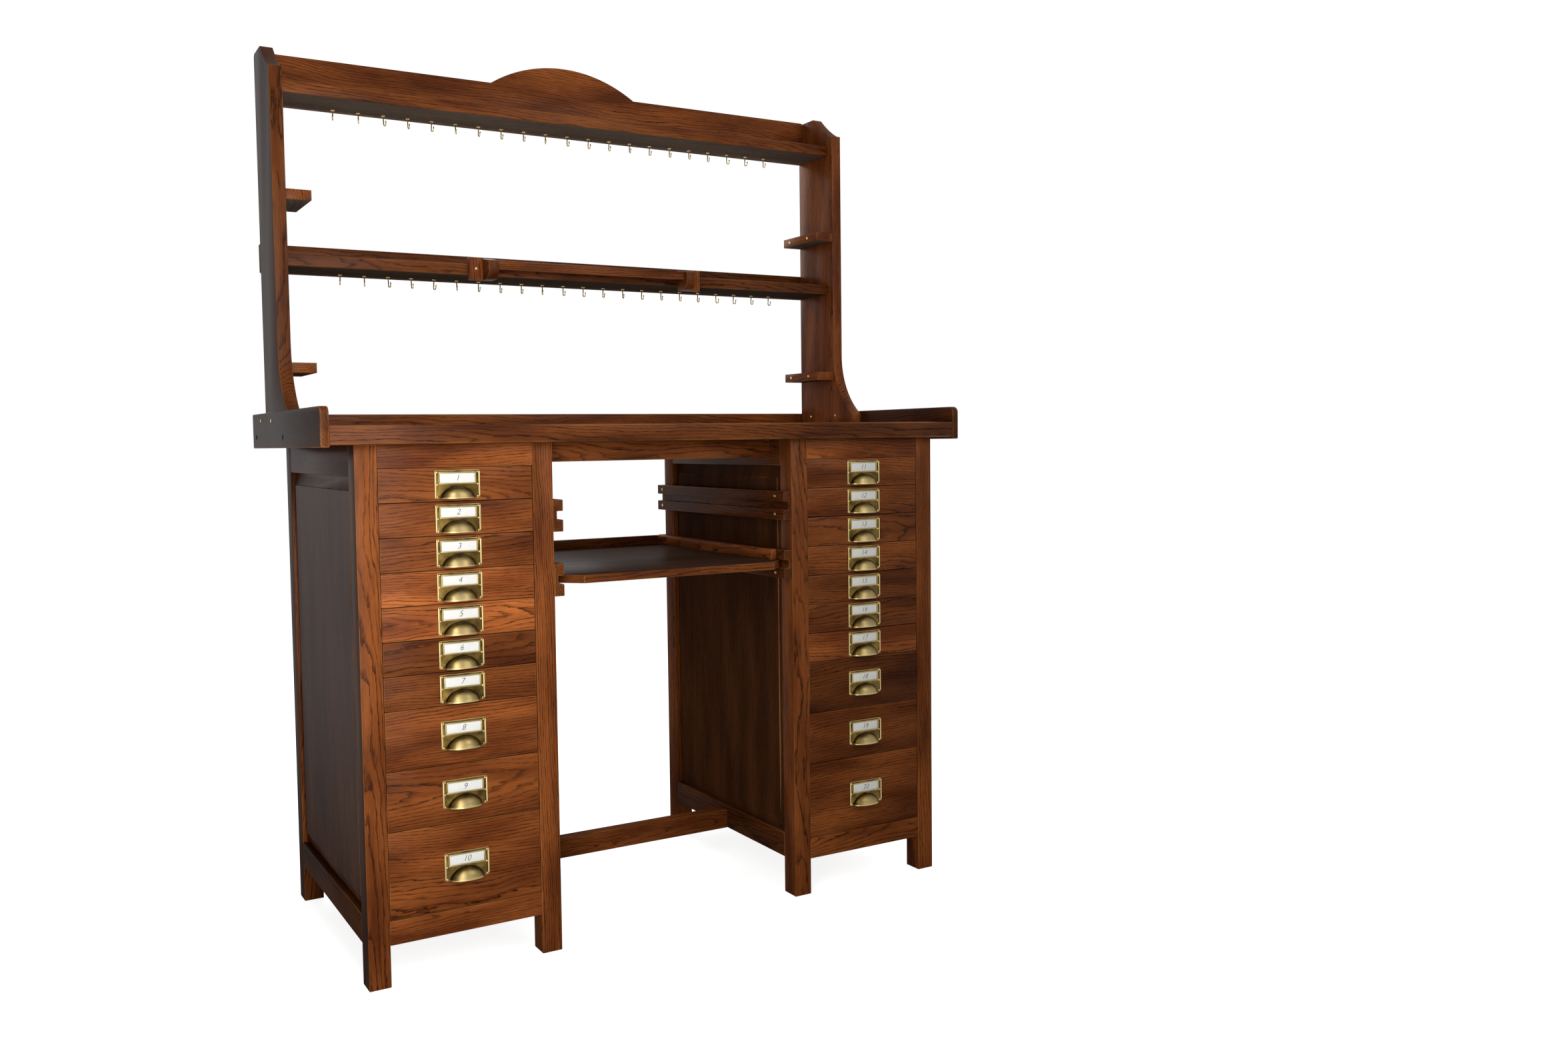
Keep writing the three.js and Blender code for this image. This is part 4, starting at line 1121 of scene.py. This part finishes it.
cut = node(heads, "GeometryNodeMeshBoolean", {0: plain, 1: bar}, operation="DIFFERENCE")
head = node(heads, "GeometryNodeSwitch", {0: given["Slotted"], 1: plain, 2: cut}, input_type="GEOMETRY")
facing = node(heads, "GeometryNodeInputNamedAttribute", {"Name": "facing"}, data_type="FLOAT_VECTOR")
aim = node(heads, "FunctionNodeAlignRotationToVector", {"Vector": facing}, axis="Z")
spin = node(heads, "FunctionNodeRandomValue", {2: 0.0, 3: math.pi, "Seed": SLOT_SEED}, data_type="FLOAT")
spin = node(heads, "FunctionNodeAxisAngleToRotation", {"Axis": (0, 0, 1), "Angle": spin})
turned = {"Rotation": aim, "Rotate By": spin}
aim = node(heads, "FunctionNodeRotateRotation", turned, rotation_space="LOCAL")
copies = {"Points": given["Geometry"], "Instance": head, "Rotation": aim}
set_heads = node(heads, "GeometryNodeInstanceOnPoints", copies)
set_heads = node(heads, "GeometryNodeRealizeInstances", {0: set_heads})
set_heads = node(heads, "GeometryNodeSetMaterial", {0: set_heads, "Material": given["Finish"]})
node(heads, "NodeGroupOutput", {0: set_heads})


def fixings(name, places, diameter, height, is_slotted, material, body):
    """Heads at places, each given with the way that its surface faces, as one piece on a body."""
    mesh = bpy.data.meshes.new(name)
    mesh.from_pydata([place for place, _ in places], [], [])
    ways = [value for _, way in places for value in way]
    mesh.attributes.new("facing", "FLOAT_VECTOR", "POINT").data.foreach_set("vector", ways)
    piece = placed(name, mesh)
    values = {"Diameter": diameter, "Height": height, "Slotted": is_slotted, "Finish": material}
    grown(piece, heads, head_keys, values)
    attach(piece, body)


for name in PULLS:
    middle, centre, face = plate_place(name)
    places = [((middle + x, face, centre + z), FORWARD) for x in (-PIN_X, PIN_X) for z in PIN_Z]
    drawer_name = name.replace("pull", "drawer")
    fixings(f"{name}_pins", places, PIN_D, PIN_H, False, bright_brass, drawer_name)

end_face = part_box("right_end_board")[1][X]
runner_face = knee_face - TRAY_RUNNER_OUT
screws = []
plugs = []
for _, side in SIDES:
    outward = (side, 0, 0)
    inward = (-side, 0, 0)
    for y, z in END_SCREWS:
        screws.append(((side * end_face, y, z), outward))
    for y, z in END_PLUGS:
        plugs.append(((side * end_face, y, z), outward))
    for y in FOOT_SCREWS_Y:
        screws.append(((side * upright_inner, y, worktop_z + FOOT_SCREW_RISE), inward))
    for rise in BRACKET_RISES:
        z = worktop_z + rise + BRACKET_H / 2
        for y in BRACKET_SCREWS_Y:
            screws.append(((side * (upright_inner - BRACKET_W), y, z), inward))
    for drop in TRAY_RUNNER_DROPS:
        top = worktop_low - drop
        low_strip = top - TRAY_RUNNER_TOP_H - TRAY_GROOVE_H - TRAY_RUNNER_LOW_H / 2
        for y in (front_face + RUNNER_SCREW_FRONT, rear_face - RUNNER_SCREW_REAR):
            screws.append(((side * runner_face, y, top - TRAY_RUNNER_TOP_H / 2), inward))
            screws.append(((side * runner_face, y, low_strip), inward))
    low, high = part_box("plier_rail")
    pad_face = high[Y] - PLIER_PAD_T
    screws.append(((side * (high[X] - PLIER_PAD_W / 2), pad_face, (low[Z] + high[Z]) / 2), FORWARD))
fixings("bench_screws", screws, SCREW_D, SCREW_H, True, bright_brass, "bench")
fixings("end_board_plugs", plugs, PLUG_D, PLUG_H, False, dark_oak, "bench")

# Catch tray: a dark oak board with cut front corners, its top painted grey as a painted sheen, that slides
# in the lower runners. Low rims along both sides and the rear keep filings in.
TRAY_CORNER = 45 * MM
TRAY_RIM_T = 12 * MM
TRAY_RIM_H = 21 * MM
TRAY_EASE = 1.0 * MM
TRAY_TONE = -1.6

x, y, z = zip(*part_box("catch_tray"))
board_top = z[1] - TRAY_RIM_H
cut_y = y[0] + TRAY_CORNER
plan = [
    (x[0], y[1]), (x[0], cut_y), (x[0] + TRAY_CORNER, y[0]),
    (x[1] - TRAY_CORNER, y[0]), (x[1], cut_y), (x[1], y[1]),
]
board = plank(plan, Z, (z[0], board_top), X, ease=TRAY_EASE, tone=TRAY_TONE)
parts = [faced(board, Z, board_top)]
rim_outer = knee_face - TRAY_RUNNER_OUT - RUN
rim_inner = rim_outer - TRAY_RIM_T
rim_z = board_top, z[1]
for _, side in SIDES:
    parts.append(slab(sided(side, rim_inner, rim_outer), (cut_y, y[1]), rim_z, Y, ease=TRAY_EASE))
parts.append(slab((-rim_inner, rim_inner), (y[1] - TRAY_RIM_T, y[1]), rim_z, X, ease=TRAY_EASE))
# The top of the tray is painted grey, a painted sheen
tray_oak = stained_oak("tray_oak", "#66493a", "#54392c", "#261812", 0.12)
tray = assembled("catch_tray_oak", parts, oak, tray_oak)
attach(tray, "catch_tray")
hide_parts("catch_tray")

# Camera: at the left in front of the bench, just below the height of the worktop. Its place, turn and lens
# come from straight edges of the bench in the photograph.
IMAGE_W = 2352
IMAGE_H = 1568
SENSOR_W = 36
FOCAL_PX = 1919.5
CENTRE_PX = (1079.3, 770.6)
EYE = Vector((-1156.5 * MM, -2471.9 * MM, 946.3 * MM))
TURN = 0.51821
TILT = 0.05681
ROLL = -0.0139

camera_data = bpy.data.cameras.new("photo_camera")
camera_data.sensor_width = SENSOR_W
camera_data.lens = FOCAL_PX / IMAGE_W * SENSOR_W
camera_data.shift_x = (IMAGE_W / 2 - CENTRE_PX[0]) / IMAGE_W
camera_data.shift_y = (CENTRE_PX[1] - IMAGE_H / 2) / IMAGE_W
camera = placed("photo_camera", camera_data)
ahead = Vector((math.sin(TURN) * math.cos(TILT), math.cos(TURN) * math.cos(TILT), -math.sin(TILT)))
level = Vector((math.cos(TURN), -math.sin(TURN), 0))
upward = level.cross(ahead)
right = level * math.cos(ROLL) + upward * math.sin(ROLL)
up = upward * math.cos(ROLL) - level * math.sin(ROLL)
camera.matrix_world = Matrix.Translation(EYE) @ Matrix((right, up, -ahead)).transposed().to_4x4()
bpy.context.scene.camera = camera

# Studio: a pale floor and a white surround, a tall soft lamp in front of the left pedestal, another high at
# the front right, and two wide ones at the right and behind.
FLOOR_REACH = 14
FLOOR_LIFT = 0.86
SKY_LIGHT = 0.13
MIDDLE = Vector((0, 0, 0.9))
LAMPS = (
    ("key", Vector((-0.74, -1.2, 1.0)), Vector((-0.68, 0, 0.9)), 0.4, 1.8, 14),
    ("fill", Vector((0.9, -2.3, 2.0)), Vector((0.5, 0, 0.7)), 1.0, 1.6, 14),
    ("right", Vector((3.2, 0.8, 1.9)), MIDDLE, 2.0, 2.0, 45),
    ("back", Vector((0.3, 3.3, 2.5)), MIDDLE, 2.0, 2.0, 60),
)


def background_rays(tree):
    """One where a ray shows the background: to the camera, in metal or through glass."""
    path = node(tree, "ShaderNodeLightPath").outputs
    rays = {0: path["Is Camera Ray"], 1: path["Is Glossy Ray"]}
    seen = node(tree, "ShaderNodeMath", rays, operation="MAXIMUM")
    return node(tree, "ShaderNodeMath", {0: seen, 1: path["Is Transmission Ray"]}, operation="MAXIMUM")


floor_mesh = bpy.data.meshes.new("floor")
corners = [(-1, -1), (1, -1), (1, 1), (-1, 1)]
floor_mesh.from_pydata([(FLOOR_REACH * x, FLOOR_REACH * y, 0) for x, y in corners], [], [(0, 1, 2, 3)])
floor = placed("floor", floor_mesh)
pale_floor, tree, shader = bare_finish("pale_floor")
feed(tree, shader, {"Base Color": linear("#c6c6c4"), "Roughness": 0.9, "Emission Color": linear("#ffffff")})
lift = node(tree, "ShaderNodeMath", {0: background_rays(tree), 1: FLOOR_LIFT}, operation="MULTIPLY")
feed(tree, shader, {"Emission Strength": lift})
floor_mesh.materials.append(pale_floor)

for name, place, aim, width, height, power in LAMPS:
    lamp_data = bpy.data.lights.new(name, "AREA")
    lamp_data.shape = "RECTANGLE"
    lamp_data.size = width
    lamp_data.size_y = height
    lamp_data.energy = power
    lamp = placed(name, lamp_data)
    lamp.location = place
    lamp.rotation_euler = (aim - place).to_track_quat("-Z", "Y").to_euler()
    lamp.visible_camera = False

world = bpy.data.worlds.new("studio")
bpy.context.scene.world = world
world.use_nodes = True
tree = world.node_tree
sky = tree.nodes["Background"]
strength = node(tree, "ShaderNodeMapRange", {0: background_rays(tree), 3: SKY_LIGHT})
feed(tree, sky, {"Color": linear("#ffffff"), "Strength": strength})

bpy.context.scene.view_settings.view_transform = "Standard"
